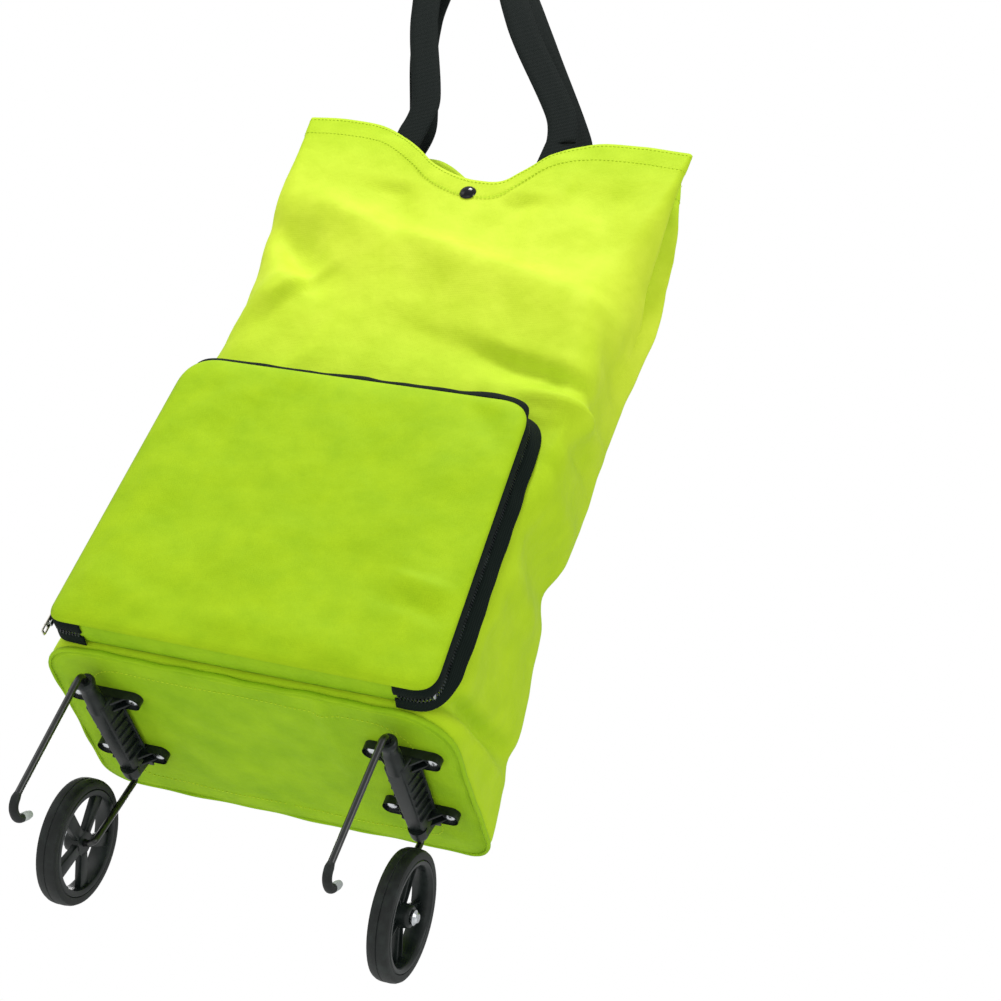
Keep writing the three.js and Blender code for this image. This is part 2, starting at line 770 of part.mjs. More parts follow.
// Pocket slider near the left end of the pocket zip, facing the bag, its tab hanging down.
const pocketSlide = new THREE.Group();
const pocketSliderX = pocketZipX - pocketZipLength / 2 + pocketSliderInset;
pocketSlide.position.set(pocketSliderX, pocketChainY + pocketChain + clearance, pocketZ);
pocketSlide.rotation.set(-Math.PI / 2, 0, 0);
const pocketTab = placed(pullTab("pocket_zip_pull"), 0, 0, tabHeight);
pocketTab.rotation.z = Math.PI;
pocketSlide.add(slider("pocket_zip_slider"), pocketTab);
bag.add(pocketSlide);

const halfWeb = webbingThickness / 2;
const frontInner = frontY + cloth;
const backHinge = backY(hemZ) - cloth / 2;
bag.add(handleLoop("front_handle", frontStrapSpacing, frontInner + clearance + halfWeb));
bag.add(handleLoop("back_handle", backStrapSpacing, backHinge - cloth / 2 - clearance - halfWeb));
for (const [word, side] of [["left", -1], ["right", 1]]) {
  const frontX = (side * frontStrapSpacing) / 2;
  const backX = (side * backStrapSpacing) / 2;
  bag.add(strapTail(`front_strap_tail_${word}`, frontX, frontInner, 1, hemZ));
  backWall.add(strapTail(`back_strap_tail_${word}`, backX, -cloth, -1, backWallHeight));
}

// The front half of the snap faces -Y and the back half faces out of the leaning wall.
const frontSnap = new THREE.Group();
frontSnap.position.set(0, frontY, frontSnapZ);
frontSnap.rotation.x = Math.PI / 2;
frontSnap.add(snapCap("snap_front_cap"), snapSocket("snap_socket"));
bag.add(frontSnap);

const backSnap = new THREE.Group();
backSnap.position.set(0, 0, backSnapUp);
backSnap.rotation.x = -Math.PI / 2;
backSnap.add(snapCap("snap_back_cap"), snapStud("snap_stud"));
backWall.add(backSnap);

export default trolleyBag;
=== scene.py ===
# %% [markdown]
# Folding trolley bag: a lime polyester tote that stands on two bent steel wires with small wheels.
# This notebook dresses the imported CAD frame. Every place comes from the frame's nodes, and the
# cloth, webbing, zips, wheels and brackets are modelled round them at their real size.

import math

import bmesh
import bpy
import numpy as np
from mathutils import Matrix, Vector, noise


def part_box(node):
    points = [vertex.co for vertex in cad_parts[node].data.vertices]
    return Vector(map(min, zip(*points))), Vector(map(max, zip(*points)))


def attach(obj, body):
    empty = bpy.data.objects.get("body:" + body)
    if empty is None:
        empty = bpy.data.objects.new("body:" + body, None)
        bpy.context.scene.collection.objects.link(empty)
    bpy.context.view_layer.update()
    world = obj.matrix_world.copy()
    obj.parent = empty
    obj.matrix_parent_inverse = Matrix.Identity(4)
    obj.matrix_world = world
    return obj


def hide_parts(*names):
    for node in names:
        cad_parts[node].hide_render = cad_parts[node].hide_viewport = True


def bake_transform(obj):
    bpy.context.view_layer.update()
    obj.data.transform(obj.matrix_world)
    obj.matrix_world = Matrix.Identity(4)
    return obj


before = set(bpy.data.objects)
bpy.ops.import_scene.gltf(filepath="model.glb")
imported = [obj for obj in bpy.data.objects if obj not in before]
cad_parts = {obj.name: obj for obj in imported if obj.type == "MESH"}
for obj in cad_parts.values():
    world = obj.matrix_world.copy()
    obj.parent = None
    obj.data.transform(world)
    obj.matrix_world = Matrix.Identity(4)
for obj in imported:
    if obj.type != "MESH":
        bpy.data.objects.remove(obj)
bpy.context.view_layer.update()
MM = 0.001


def low(node):
    """Lowest corner of a CAD node, in millimetres."""
    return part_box(node)[0] / MM


def high(node):
    """Highest corner of a CAD node, in millimetres."""
    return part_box(node)[1] / MM


# %% [markdown]
# The bag hangs by its handles, seen from low down at its right front corner, so the floor lies
# well below it. A long lens keeps its sides nearly parallel.

# %% Camera, floor and light
scene = bpy.context.scene
scene.view_settings.view_transform = "Standard"
TURN, RISE, ROLL = (math.radians(a) for a in (22.693, 34.93, 22.451))
DISTANCE = 1.6114
LENS = 76.14
LOOK_AT = Vector((0.09218, 0.012, 0.37927))
FLOOR_Z = -0.95
FLOOR_SIZE = 40
AMBIENT = 0.58  # how bright the white surroundings are to everything but the camera


def set_camera():
    """A camera that looks up at the bag, tilted about its own line of sight."""
    ahead = Vector(
        (-math.sin(TURN) * math.cos(RISE), math.cos(TURN) * math.cos(RISE), math.sin(RISE))
    )
    level = Vector((math.cos(TURN), math.sin(TURN), 0))
    above = level.cross(ahead)
    right = math.cos(ROLL) * level + math.sin(ROLL) * above
    up = -math.sin(ROLL) * level + math.cos(ROLL) * above
    data = bpy.data.cameras.new("camera")
    data.lens = LENS
    data.sensor_width = 36
    data.clip_end = 50
    camera = bpy.data.objects.new("camera", data)
    scene.collection.objects.link(camera)
    turned = Matrix((right, up, -ahead)).transposed()
    camera.matrix_world = Matrix.Translation(LOOK_AT - DISTANCE * ahead) @ turned.to_4x4()
    scene.camera = camera


def add_area(name, place, target, size, watts):
    """A soft white square lamp aimed at a point."""
    data = bpy.data.lights.new(name, "AREA")
    data.shape = "SQUARE"
    data.size = size
    data.energy = watts
    lamp = bpy.data.objects.new(name, data)
    scene.collection.objects.link(lamp)
    aim = (Vector(target) - Vector(place)).to_track_quat("-Z", "Y")
    lamp.matrix_world = Matrix.Translation(place) @ aim.to_matrix().to_4x4()


def clear_selection():
    """Operators act on everything selected, so nothing is left selected."""
    if bpy.context.object and bpy.context.object.mode != "OBJECT":
        bpy.ops.object.mode_set(mode="OBJECT")
    bpy.ops.object.select_all(action="DESELECT")


def select_only(piece):
    """Makes one piece the selected and active one."""
    clear_selection()
    piece.select_set(True)
    bpy.context.view_layer.objects.active = piece


set_camera()
clear_selection()
bpy.ops.mesh.primitive_plane_add(size=FLOOR_SIZE, location=(0, 0, FLOOR_Z))
floor = bpy.context.object
floor.name = "floor"
floor.data.transform(floor.matrix_world)
floor.matrix_world = Matrix.Identity(4)

# The camera sees the surroundings pure white, and the pieces are lit by them a little less.
world = bpy.data.worlds.new("studio")
world.use_nodes = True
backdrop = world.node_tree.nodes["Background"]
backdrop.inputs["Color"].default_value = (1, 1, 1, 1)
seen = world.node_tree.nodes.new("ShaderNodeLightPath").outputs["Is Camera Ray"]
level = world.node_tree.nodes.new("ShaderNodeMapRange")
level.inputs["To Min"].default_value = AMBIENT
level.inputs["To Max"].default_value = 1.0
world.node_tree.links.new(seen, level.inputs["Value"])
world.node_tree.links.new(level.outputs["Result"], backdrop.inputs["Strength"])
scene.world = world
CENTRE = (0, 0, 0.4)
add_area("key", (-0.2, -1.15, 2.2), CENTRE, 0.55, 31)
add_area("right_fill", (2.2, -0.9, 0.7), CENTRE, 1.2, 12)
add_area("left_fill", (-2.2, -1.8, 1.0), CENTRE, 1.6, 9)
add_area("back_fill", (-1.3, 2.2, 1.7), CENTRE, 1.2, 22)
add_area("under_fill", (0.4, -1.5, -0.85), CENTRE, 1.2, 3)
print("lamps:", len(bpy.data.lights))

# %% [markdown]
# Finishes. Each starts from the real stuff: polyester plain weave, polypropylene webbing, nylon zip
# tape, injection-moulded ABS, rubber and plated steel. Colours are sRGB hex, patterns in millimetres.


# %% Node helpers
def linear(code):
    """An sRGB hex colour as linear RGBA."""
    parts = [int(code[i : i + 2], 16) / 255 for i in (1, 3, 5)]
    light = [c / 12.92 if c <= 0.04045 else ((c + 0.055) / 1.055) ** 2.4 for c in parts]
    return (*light, 1)


def node(tree, kind, settings=(), inputs=(), stops=()):
    """Adds a node: its settings, each input's value or link, and a ramp's places and hex colours."""
    made = tree.nodes.new(kind)
    for name, value in dict(settings).items():
        setattr(made, name, value)
    for name, value in dict(inputs).items():
        socket = made.inputs[name]
        if isinstance(value, bpy.types.NodeSocket):
            tree.links.new(value, socket)
        else:
            socket.default_value = value
    while stops and len(made.color_ramp.elements) < len(stops):
        made.color_ramp.elements.new(0.5)
    for number, (place, code) in enumerate(stops):
        made.color_ramp.elements[number].position = place
        made.color_ramp.elements[number].color = linear(code)
    return made


def blotched(size, detail=3.0):
    """Inputs of a noise texture whose blotches are about size millimetres across."""
    return {"Scale": 1 / (size * MM), "Detail": detail}


def raised(height, depth, strength):
    """Inputs of a bump of a depth in millimetres."""
    return {"Height": height, "Distance": depth * MM, "Strength": strength}


def new_material(name, colour, roughness, metallic=0.0):
    """A Principled material; returns it, its tree, its shader and Object coordinates."""
    material = bpy.data.materials.new(name)
    material.use_nodes = True
    tree = material.node_tree
    shader = tree.nodes["Principled BSDF"]
    shader.inputs["Base Color"].default_value = linear(colour)
    shader.inputs["Roughness"].default_value = roughness
    shader.inputs["Metallic"].default_value = metallic
    where = node(tree, "ShaderNodeTexCoord").outputs["Object"]
    return material, tree, shader, where


def threads(tree, where, pitch_mm, across, along):
    """A woven height: two sets of threads, each a sine, at a thread pitch in millimetres."""
    scale = 2 * math.pi / (20 * pitch_mm * MM)
    heights = []
    for direction in (across, along):
        turned = node(
            tree, "ShaderNodeVectorMath", {"operation": "DOT_PRODUCT"}, {0: where, 1: direction}
        ).outputs["Value"]
        as_vector = node(tree, "ShaderNodeCombineXYZ", inputs={"X": turned}).outputs["Vector"]
        wave = node(
            tree,
            "ShaderNodeTexWave",
            {"bands_direction": "X"},
            {"Vector": as_vector, "Scale": scale, "Distortion": 0.0},
        )
        heights.append(wave.outputs["Fac"])
    settings = {"operation": "MULTIPLY"}
    return node(tree, "ShaderNodeMath", settings, {0: heights[0], 1: heights[1]}).outputs[0]


print("node helpers ready")

# %% [markdown]
# Every finish varies in colour and roughness over a few millimetres, and its surface is bumped by
# what the stuff is made of: threads, knit, moulding grain or drawing marks.

# %% Finishes
NOISE, RAMP, BUMP = "ShaderNodeTexNoise", "ShaderNodeValToRGB", "ShaderNodeBump"
THREAD_PITCH = 1.6  # real threads are 0.4 mm apart; this is as coarse as they need to be to show
# Painted light and shade by height: how far each height's colour goes from the deep shaded colours to the
# lit ones.
PAINTED_LIGHT_STOPS = [(0.15, "#000000"), (0.6, "#FFFFFF"), (0.78, "#E0E0E0"), (0.95, "#707070")]
PAINTED_LIGHT_FROM, PAINTED_LIGHT_TO = 0.3, 0.7  # heights in metres between which painted light and shade change the cloth's colour


def lime_polyester(name, across, along, bright="#D6EA40", deep="#C4DC2C", painted_shade_colours=None):
    """Plain-woven polyester: dull, with a soft sheen and faint creases."""
    material, tree, shader, where = new_material(name, bright, 0.72)
    shader.inputs["Sheen Weight"].default_value = 0.04
    shader.inputs["Sheen Roughness"].default_value = 0.5
    shader.inputs["Sheen Tint"].default_value = linear("#E8FF90")
    shader.inputs["Specular IOR Level"].default_value = 0.16
    blotches = node(tree, NOISE, inputs={"Vector": where, **blotched(26, 6)}).outputs["Fac"]
    longer = node(tree, "ShaderNodeMapping", inputs={"Vector": where, "Scale": (1, 1, 6)})
    slubs = node(
        tree, NOISE, inputs={"Vector": longer.outputs["Vector"], **blotched(2.4, 2)}
    ).outputs["Fac"]
    tone = node(
        tree, "ShaderNodeMath", {"operation": "MULTIPLY_ADD"}, {0: slubs, 1: 0.25, 2: blotches}
    ).outputs[0]
    stops = [(0.3, deep), (0.85, bright)]
    colour = node(tree, RAMP, inputs={"Fac": tone}, stops=stops).outputs["Color"]
    if painted_shade_colours:
        # Painted light and shade: the cloth is painted lighter between the bottom and the hem, and deeper
        # in colour near both.
        height = node(tree, "ShaderNodeSeparateXYZ", inputs={"Vector": where}).outputs["Z"]
        bounds = {"Value": height, "From Min": PAINTED_LIGHT_FROM, "From Max": PAINTED_LIGHT_TO}
        reach = node(tree, "ShaderNodeMapRange", inputs=bounds).outputs["Result"]
        painted_light = node(tree, RAMP, inputs={"Fac": reach}, stops=PAINTED_LIGHT_STOPS).outputs["Color"]
        stops = [(0.3, painted_shade_colours[0]), (0.85, painted_shade_colours[1])]
        painted_shade = node(tree, RAMP, inputs={"Fac": tone}, stops=stops).outputs["Color"]
        # A Mix node of colours takes its share at 0 and its two colours at 6 and 7, and gives 2.
        both = {0: painted_light, 6: painted_shade, 7: colour}
        colour = node(tree, "ShaderNodeMix", {"data_type": "RGBA"}, both).outputs[2]
    tree.links.new(colour, shader.inputs["Base Color"])
    creases = node(tree, NOISE, inputs={"Vector": where, **blotched(22, 5)}).outputs["Fac"]
    creased = node(tree, BUMP, inputs=raised(creases, 3.0, 0.5)).outputs["Normal"]
    weave = threads(tree, where, THREAD_PITCH, across, along)
    woven = node(tree, BUMP, inputs={"Normal": creased, **raised(weave, 0.12, 0.5)})
    tree.links.new(woven.outputs["Normal"], shader.inputs["Normal"])
    return material


def black_webbing():
    """Polypropylene webbing: ribs across the tape and a dusty sheen."""
    material, tree, shader, where = new_material("polypropylene_webbing", "#141D1A", 0.7)
    shader.inputs["Sheen Weight"].default_value = 0.02
    shader.inputs["Specular IOR Level"].default_value = 0.08
    weave = threads(tree, where, 1.7, (1, 1, 0), (0, 0, 1))
    colour = node(tree, RAMP, inputs={"Fac": weave}, stops=[(0.1, "#030C09"), (0.7, "#0A1612")])
    tree.links.new(colour.outputs["Color"], shader.inputs["Base Color"])
    ribs = node(tree, BUMP, inputs=raised(weave, 0.5, 0.9))
    tree.links.new(ribs.outputs["Normal"], shader.inputs["Normal"])
    return material


def nylon_tape():
    """Zip tape: a tight dark knit."""
    material, tree, shader, where = new_material("nylon_zip_tape", "#18221E", 0.8)
    shader.inputs["Sheen Weight"].default_value = 0.02
    shader.inputs["Specular IOR Level"].default_value = 0.08
    knit = threads(tree, where, 1.2, (1, 0, 1), (0, 1, 0))
    colour = node(tree, RAMP, inputs={"Fac": knit}, stops=[(0.1, "#08120E"), (0.8, "#15231D")])
    tree.links.new(colour.outputs["Color"], shader.inputs["Base Color"])
    ribs = node(tree, BUMP, inputs=raised(knit, 0.3, 0.7))
    tree.links.new(ribs.outputs["Normal"], shader.inputs["Normal"])
    return material


def moulded(name, colour, roughness, grain_size=0.8, grain_depth=0.05, worn="#232B29"):
    """Injection-moulded plastic with a spark-eroded grain and paler rubbed patches."""
    material, tree, shader, where = new_material(name, colour, roughness)
    shader.inputs["IOR"].default_value = 1.53
    shader.inputs["Specular IOR Level"].default_value = 0.3
    grain = node(tree, NOISE, inputs={"Vector": where, **blotched(grain_size, 2)}).outputs["Fac"]
    wear = node(tree, NOISE, inputs={"Vector": where, **blotched(9, 5)}).outputs["Fac"]
    shades = node(tree, RAMP, inputs={"Fac": wear}, stops=[(0.45, colour), (0.85, worn)])
    tree.links.new(shades.outputs["Color"], shader.inputs["Base Color"])
    scuffed = node(
        tree,
        "ShaderNodeMapRange",
        inputs={"Value": wear, "To Min": roughness - 0.06, "To Max": roughness + 0.14},
    )
    tree.links.new(scuffed.outputs["Result"], shader.inputs["Roughness"])
    grainy = node(tree, BUMP, inputs=raised(grain, grain_depth, 0.6))
    tree.links.new(grainy.outputs["Normal"], shader.inputs["Normal"])
    return material


def bright_metal(name, colour, roughness):
    """Plated steel: fine drawing marks that soften the highlight."""
    material, tree, shader, where = new_material(name, colour, roughness, 1.0)
    longer = node(tree, "ShaderNodeMapping", inputs={"Vector": where, "Scale": (1, 1, 5)})
    marks = node(
        tree, NOISE, inputs={"Vector": longer.outputs["Vector"], **blotched(1.5, 3)}
    ).outputs["Fac"]
    rough = node(
        tree,
        "ShaderNodeMapRange",
        inputs={"Value": marks, "To Min": roughness * 0.7, "To Max": roughness * 1.5},
    )
    tree.links.new(rough.outputs["Result"], shader.inputs["Roughness"])
    drawn = node(tree, BUMP, inputs=raised(marks, 0.03, 0.5))
    tree.links.new(drawn.outputs["Normal"], shader.inputs["Normal"])
    return material


def painted_steel():
    """Black stove enamel on drawn wire, thin and slightly uneven."""
    material, tree, shader, where = new_material("black_enamelled_wire", "#0B0E0D", 0.3)
    shader.inputs["Coat Weight"].default_value = 0.4
    shader.inputs["Coat Roughness"].default_value = 0.15
    runs = node(tree, NOISE, inputs={"Vector": where, **blotched(5, 3)}).outputs["Fac"]
    shades = node(tree, RAMP, inputs={"Fac": runs}, stops=[(0.4, "#070A09"), (0.8, "#161C1A")])
    tree.links.new(shades.outputs["Color"], shader.inputs["Base Color"])
    uneven = node(tree, BUMP, inputs=raised(runs, 0.08, 0.4))
    tree.links.new(uneven.outputs["Normal"], shader.inputs["Normal"])
    return material


# Threads run across and along: round the walls and up them, or across the bottom and back.
# The pouch's cloth is the walls' cloth painted deeper green: painted shade on the pouch face.
SHADED_POUCH_LIME = lime_polyester("lime_polyester_pouch_painted_shade", (1, 1, 0), (0, 0, 1), "#A8CC10", "#94BC08")
# The walls' cloth carries painted light and shade by height.
WALL_LIME = lime_polyester(
    "lime_polyester_walls", (1, 1, 0), (0, 0, 1), painted_shade_colours=("#A8CC14", "#B6D81E")
)
BASE_LIME = lime_polyester("lime_polyester_base", (1, 0, 0), (0, 1, 0), "#9CC614", "#84B20A")
THREAD_LIME = lime_polyester("lime_polyester_thread", (1, 1, 0), (0, 0, 1), "#C4E030", "#B4D424")
WEBBING = black_webbing()
TAPE = nylon_tape()
TEETH = moulded("nylon_zip_teeth", "#10171A", 0.35, 0.5, 0.02, "#39443F")
ABS_BLACK = moulded("moulded_abs_black", "#0D1513", 0.38)
ABS_WHEEL = moulded("moulded_abs_wheel", "#0E1614", 0.32, 1.2, 0.03)
RUBBER = moulded("tyre_rubber", "#0C1210", 0.5, 0.7, 0.08, "#262E2B")
BOARD = moulded("polypropylene_board", "#202725", 0.6, 1.4, 0.1, "#4A5350")
SNAP_PLASTIC = moulded("glossy_acetal_snap", "#07090D", 0.12, 3.0, 0.01, "#0F1218")
ENAMEL = painted_steel()
ZINC = bright_metal("zinc_plated_steel", "#C9CDD0", 0.24)
TIP_GREY = moulded("pale_grey_pvc_tip", "#9AA09E", 0.5, 1.0, 0.03, "#C2C7C5")
NICKEL = bright_metal("nickel_plated_die_casting", "#D2CFC4", 0.2)
material, tree, shader, where = new_material("pale_studio_floor", "#F4F5F4", 0.9)
mottle = node(tree, NOISE, inputs={"Vector": where, **blotched(300, 2)}).outputs["Fac"]
shades = node(tree, RAMP, inputs={"Fac": mottle}, stops=[(0.3, "#FAFAFA"), (0.8, "#FDFDFD")])
tree.links.new(shades.outputs["Color"], shader.inputs["Base Color"])
floor.data.materials.append(material)
print("finishes:", len(bpy.data.materials))

# %% [markdown]
# The walls are one tube of cloth that hangs from the handles. Pattern makers think of it unrolled:
# a distance round the bag and a height. So it is a grid of points round rounded corners, and every
# fold is a line on the unrolled cloth that pushes the points in or out.


# %% Helpers for cloth
def flowing(x, places, values):
    """A smooth curve through a few given points (cubic, no overshoot at the ends)."""
    places, values = np.array(places, float), np.array(values, float)
    slopes = np.gradient(values, places)
    x = np.clip(x, places[0], places[-1])
    i = np.clip(np.searchsorted(places, x) - 1, 0, len(places) - 2)
    gap = places[i + 1] - places[i]
    t = (x - places[i]) / gap
    start = (1 + 2 * t) * (1 - t) ** 2 * values[i] + t * (1 - t) ** 2 * gap * slopes[i]
    end = t * t * (3 - 2 * t) * values[i + 1] - t * t * (1 - t) * gap * slopes[i + 1]
    return start + end


def smooth(x, start, end):
    """0 before start, 1 after end, smooth between."""
    t = np.clip((x - start) / (end - start), 0, 1)
    return t * t * (3 - 2 * t)


def folds(u, v, lines):
    """Sum of folds on unrolled cloth. A line is (from, to, height, width on its two sides)."""
    total = np.zeros_like(u)
    for (u0, v0), (u1, v1), height, left, right in lines:
        du, dv = u1 - u0, v1 - v0
        length = math.hypot(du, dv)
        along = ((u - u0) * du + (v - v0) * dv) / length
        off = ((u - u0) * dv - (v - v0) * du) / length
        end = 0.35 * length
        ends = smooth(along, -end, end) * smooth(length - along, -end, end)
        width = np.where(off > 0, right, left)
        total += height * ends * np.exp(-((off / width) ** 2))
    return total


def crumple(u, v, size, depth, seed):
    """Smooth random undulation, size and depth in millimetres."""
    flat = zip(u.ravel() / size, v.ravel() / size)
    return depth * np.array([noise.noise((a, b, seed)) for a, b in flat]).reshape(u.shape)


def piece_from(name, points, faces, material, body=None):
    """A mesh piece from points in millimetres, smooth shaded, with its finish and body."""
    mesh = bpy.data.meshes.new(name)
    mesh.from_pydata((np.asarray(points, float).reshape(-1, 3) * MM).tolist(), [], faces)
    mesh.polygons.foreach_set("use_smooth", [True] * len(mesh.polygons))
    mesh.update()
    piece = bpy.data.objects.new(name, mesh)
    scene.collection.objects.link(piece)
    dress(piece, material, body)
    return piece


def dress(piece, material, body):
    """Gives a piece its material and the body it rides on."""
    piece.data.materials.clear()
    piece.data.materials.append(material)
    if body:
        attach(piece, body)


def grid_faces(rows, columns, closed=False):
    """Quads of a rows by columns grid, whose last column may join its first."""
    faces = []
    for r in range(rows - 1):
        for c in range(columns if closed else columns - 1):
            d = (c + 1) % columns
            near, far = r * columns, (r + 1) * columns
            faces.append((near + c, near + d, far + d, far + c))
    return faces


def apply_all(piece):
    """Applies a piece's modifiers in order."""
    select_only(piece)
    for modifier in list(piece.modifiers):
        bpy.ops.object.modifier_apply(modifier=modifier.name)


def thicken(piece, thickness, outwards=-1.0):
    """Gives a sheet its thickness in millimetres."""
    made = piece.modifiers.new("thickness", "SOLIDIFY")
    made.thickness = thickness * MM
    made.offset = outwards
    made.use_even_offset = False
    apply_all(piece)


# %% The bag's cross-section
FRONT_Y = low("front_panel").y
BACK_LOW_Y = high("back_panel").y
BACK_TOP_Y = low("back_panel").y
PANEL_Z = low("bottom_panel").z
HEM_Z = high("front_panel").z
SIDE_LOW = high("bottom_panel").x
SIDE_TOP = high("front_panel").x
POUCH_X = high("pouch_flap").x
POUCH_TOP = high("pouch_flap").z
POUCH_Y = low("pouch_flap").y
CLOTH = 1.2
HEM_BAND = 20
FRONT_FOOT, BACK_FOOT = 65, 75  # the handles' feet, each side of the middle
SEWN_LEFT = 9  # both handles are sewn on a little left of the middle


def half_width(z):
    """Half the bag's width at a height: the walls taper in towards the bottom."""
    return SIDE_LOW + (SIDE_TOP - SIDE_LOW) * (z - PANEL_Z) / (HEM_Z - PANEL_Z)


def back_y(z):
    """Where the back wall stands at a height: it leans forward as it rises."""
    lean = (BACK_TOP_Y - BACK_LOW_Y) * (z - PANEL_Z) / (HEM_Z - PANEL_Z)
    return BACK_LOW_Y + lean



# Slack and corner radii at a few heights. The first four pull a wall's edge in from its full width.
HEIGHTS = [126, 200, 300, 400, 480, 560, 630, 686]
LEFT_IN = [0, 3, 6, 7, 8, 4, 1, 0]
RIGHT_IN = [0, 2, 5, 3, 4, 3, 1, 0]
LEFT_BACK_IN = [0, 2, 4, 4, 2, 0, 0, 0]
RIGHT_BACK_IN = [-2, -1, 6, 0, -3, -6, 0, 12]
LEFT_ROUND = [34, 36, 40, 42, 38, 26, 10, 3]
RIGHT_ROUND = [40, 26, 22, 16, 34, 34, 12, 3]
BACK_ROUND = [20, 22, 24, 24, 20, 14, 8, 3]
SIDES = {"back_half": 38, "corner": 9, "side": 44, "front": 96}


def ring_shares():
    """Each column's stretch of the ring and its share of the way along it, from the back's middle."""
    stretches = [
        ("back", 0.5, 1, SIDES["back_half"]),
        ("left_back", 0, 1, SIDES["corner"]),
        ("left", 0, 1, SIDES["side"]),
        ("left_front", 0, 1, SIDES["corner"]),
        ("front", 0, 1, SIDES["front"]),
        ("right_front", 0, 1, SIDES["corner"]),
        ("right", 0, 1, SIDES["side"]),
        ("right_back", 0, 1, SIDES["corner"]),
        ("back", 0, 0.5, SIDES["back_half"]),
    ]
    columns = []
    for name, start, end, count in stretches:
        columns += [(name, start + (end - start) * i / count) for i in range(count)]
    return columns


def ring_points(z, columns):
    """Points and outward directions of the ring at heights z (rows by columns)."""
    left = half_width(z) - flowing(z, HEIGHTS, LEFT_IN)
    right = half_width(z) - flowing(z, HEIGHTS, RIGHT_IN)
    left_back = half_width(z) - flowing(z, HEIGHTS, LEFT_BACK_IN)
    right_back = half_width(z) - flowing(z, HEIGHTS, RIGHT_BACK_IN)
    front_left = flowing(z, HEIGHTS, LEFT_ROUND)
    front_right = flowing(z, HEIGHTS, RIGHT_ROUND)
    rear = flowing(z, HEIGHTS, BACK_ROUND)
    back = back_y(z)
    x, y = np.zeros_like(z), np.zeros_like(z)
    out_x, out_y = np.zeros_like(z), np.zeros_like(z)
    corners = {
        "left_back": (rear - left_back, back - rear, rear, 90),
        "left_front": (front_left - left, FRONT_Y + front_left, front_left, 180),
        "right_front": (right - front_right, FRONT_Y + front_right, front_right, 270),
        "right_back": (right_back - rear, back - rear, rear, 0),
    }
    straights = {
        "back": ((right_back - rear, back), (rear - left_back, back), (0, 1)),
        "left": ((-left_back, back - rear), (-left, FRONT_Y + front_left), (-1, 0)),
        "front": ((front_left - left, FRONT_Y + 0 * z), (right - front_right, FRONT_Y + 0 * z), (0, -1)),
        "right": ((right, FRONT_Y + front_right), (right_back, back - rear), (1, 0)),
    }
    for c, (name, t) in enumerate(columns):
        if name in corners:
            cx, cy, radius = (value[:, c] for value in corners[name][:3])
            start = corners[name][3]
            angle = math.radians(start + 90 * t)
            out_x[:, c], out_y[:, c] = math.cos(angle), math.sin(angle)
            x[:, c] = cx + radius * math.cos(angle)
            y[:, c] = cy + radius * math.sin(angle)
            continue
        (x0, y0), (x1, y1), outward = straights[name]
        x[:, c] = x0[:, c] * (1 - t) + x1[:, c] * t
        y[:, c] = y0[:, c] * (1 - t) + y1[:, c] * t
        out_x[:, c], out_y[:, c] = outward
    return x, y, out_x, out_y


columns = ring_shares()
print("ring:", len(columns), "columns, bottom", round(2 * SIDE_LOW), "mm wide")

# %% [markdown]
# Hanging cloth creases where the load pulls it: it sags in a swag between the handles, dimples
# under the left handle, buckles over the pouch, and folds across the side where the bag bends.
# Each fold runs between two points of the unrolled cloth, with a height and a width on each side.

# %% The bag's walls
FRONT_HEM = [(-168, 685), (-130, 687), (-92, 680), (-62, 661), (-43, 646), (-20, 635), (5, 630)]
FRONT_HEM += [(28, 634), (42, 648), (56, 668), (80, 683), (125, 689), (168, 687)]
FOLDS = [
    ((-150, 562), (-96, 498), -15, 24, 13),
    ((-92, 522), (-146, 456), 10, 7, 20),
    ((-130, 590), (-50, 572), 4, 12, 20),
    ((-90, 572), (124, 512), 9, 13, 26),
    ((-72, 655), (-26, 530), -5, 18, 30),
    ((66, 660), (36, 560), -5, 18, 30),
    ((5, 596), (8, 470), 5, 60, 60),
    ((112, 645), (132, 556), -5, 18, 24),
    ((-20, 470), (60, 447), -4, 12, 22),
    ((56, 450), (146, 428), -11, 8, 17),
    ((100, 415), (156, 406), 8, 7, 9),
    ((150, 405), (205, 424), 4, 8, 14),
    ((146, 382), (205, 398), -5, 12, 9),
    ((126, 520), (152, 400), 5, 10, 20),
    ((150, 470), (195, 488), -4, 14, 18),
    ((172, 520), (205, 550), 3, 18, 22),
    ((160, 300), (272, 318), -10, 18, 20),
    ((160, 336), (225, 348), 5, 12, 11),
    ((162, 262), (225, 272), 5, 14, 11),
    ((150, 206), (225, 232), -4, 13, 17),
    ((134, 148), (262, 186), -13, 7, 10),
    ((132, 130), (256, 164), 7, 6, 7),
    ((-240, 300), (-170, 316), -4, 16, 20),
    ((-262, 180), (-160, 150), -5, 14, 18),
    ((-230, 420), (-175, 404), 3, 14, 18),
    ((-236, 480), (-185, 495), -3, 16, 22),
    ((-60, 500), (-110, 410), -5, 16, 26),
    ((-470, 540), (-370, 430), -9, 22, 14),
    ((-460, 500), (-350, 400), 6, 12, 22),
    ((396, 570), (470, 440), -9, 16, 24),
    ((380, 300), (480, 340), 8, 16, 22),
    ((-480, 250), (-380, 300), 8, 18, 24),
    ((370, 240), (470, 180), -7, 16, 20),
    ((-420, 180), (480, 190), -4, 20, 24),
    ((-330, 610), (-300, 420), 4, 14, 20),
    ((330, 600), (318, 430), 4, 14, 20),
]
ROWS = 150


def hem_height(x, y):
    """The top edge: front and back walls dip between the handles, and the sides are level."""
    front = flowing(x, *zip(*FRONT_HEM))
    back = HEM_Z - 28 * np.where(np.abs(x) < 62, np.cos(np.pi * np.clip(x, -62, 62) / 124) ** 2, 0)
    share = smooth(y, FRONT_Y + 1, BACK_TOP_Y)
    return front * (1 - share) + back * share


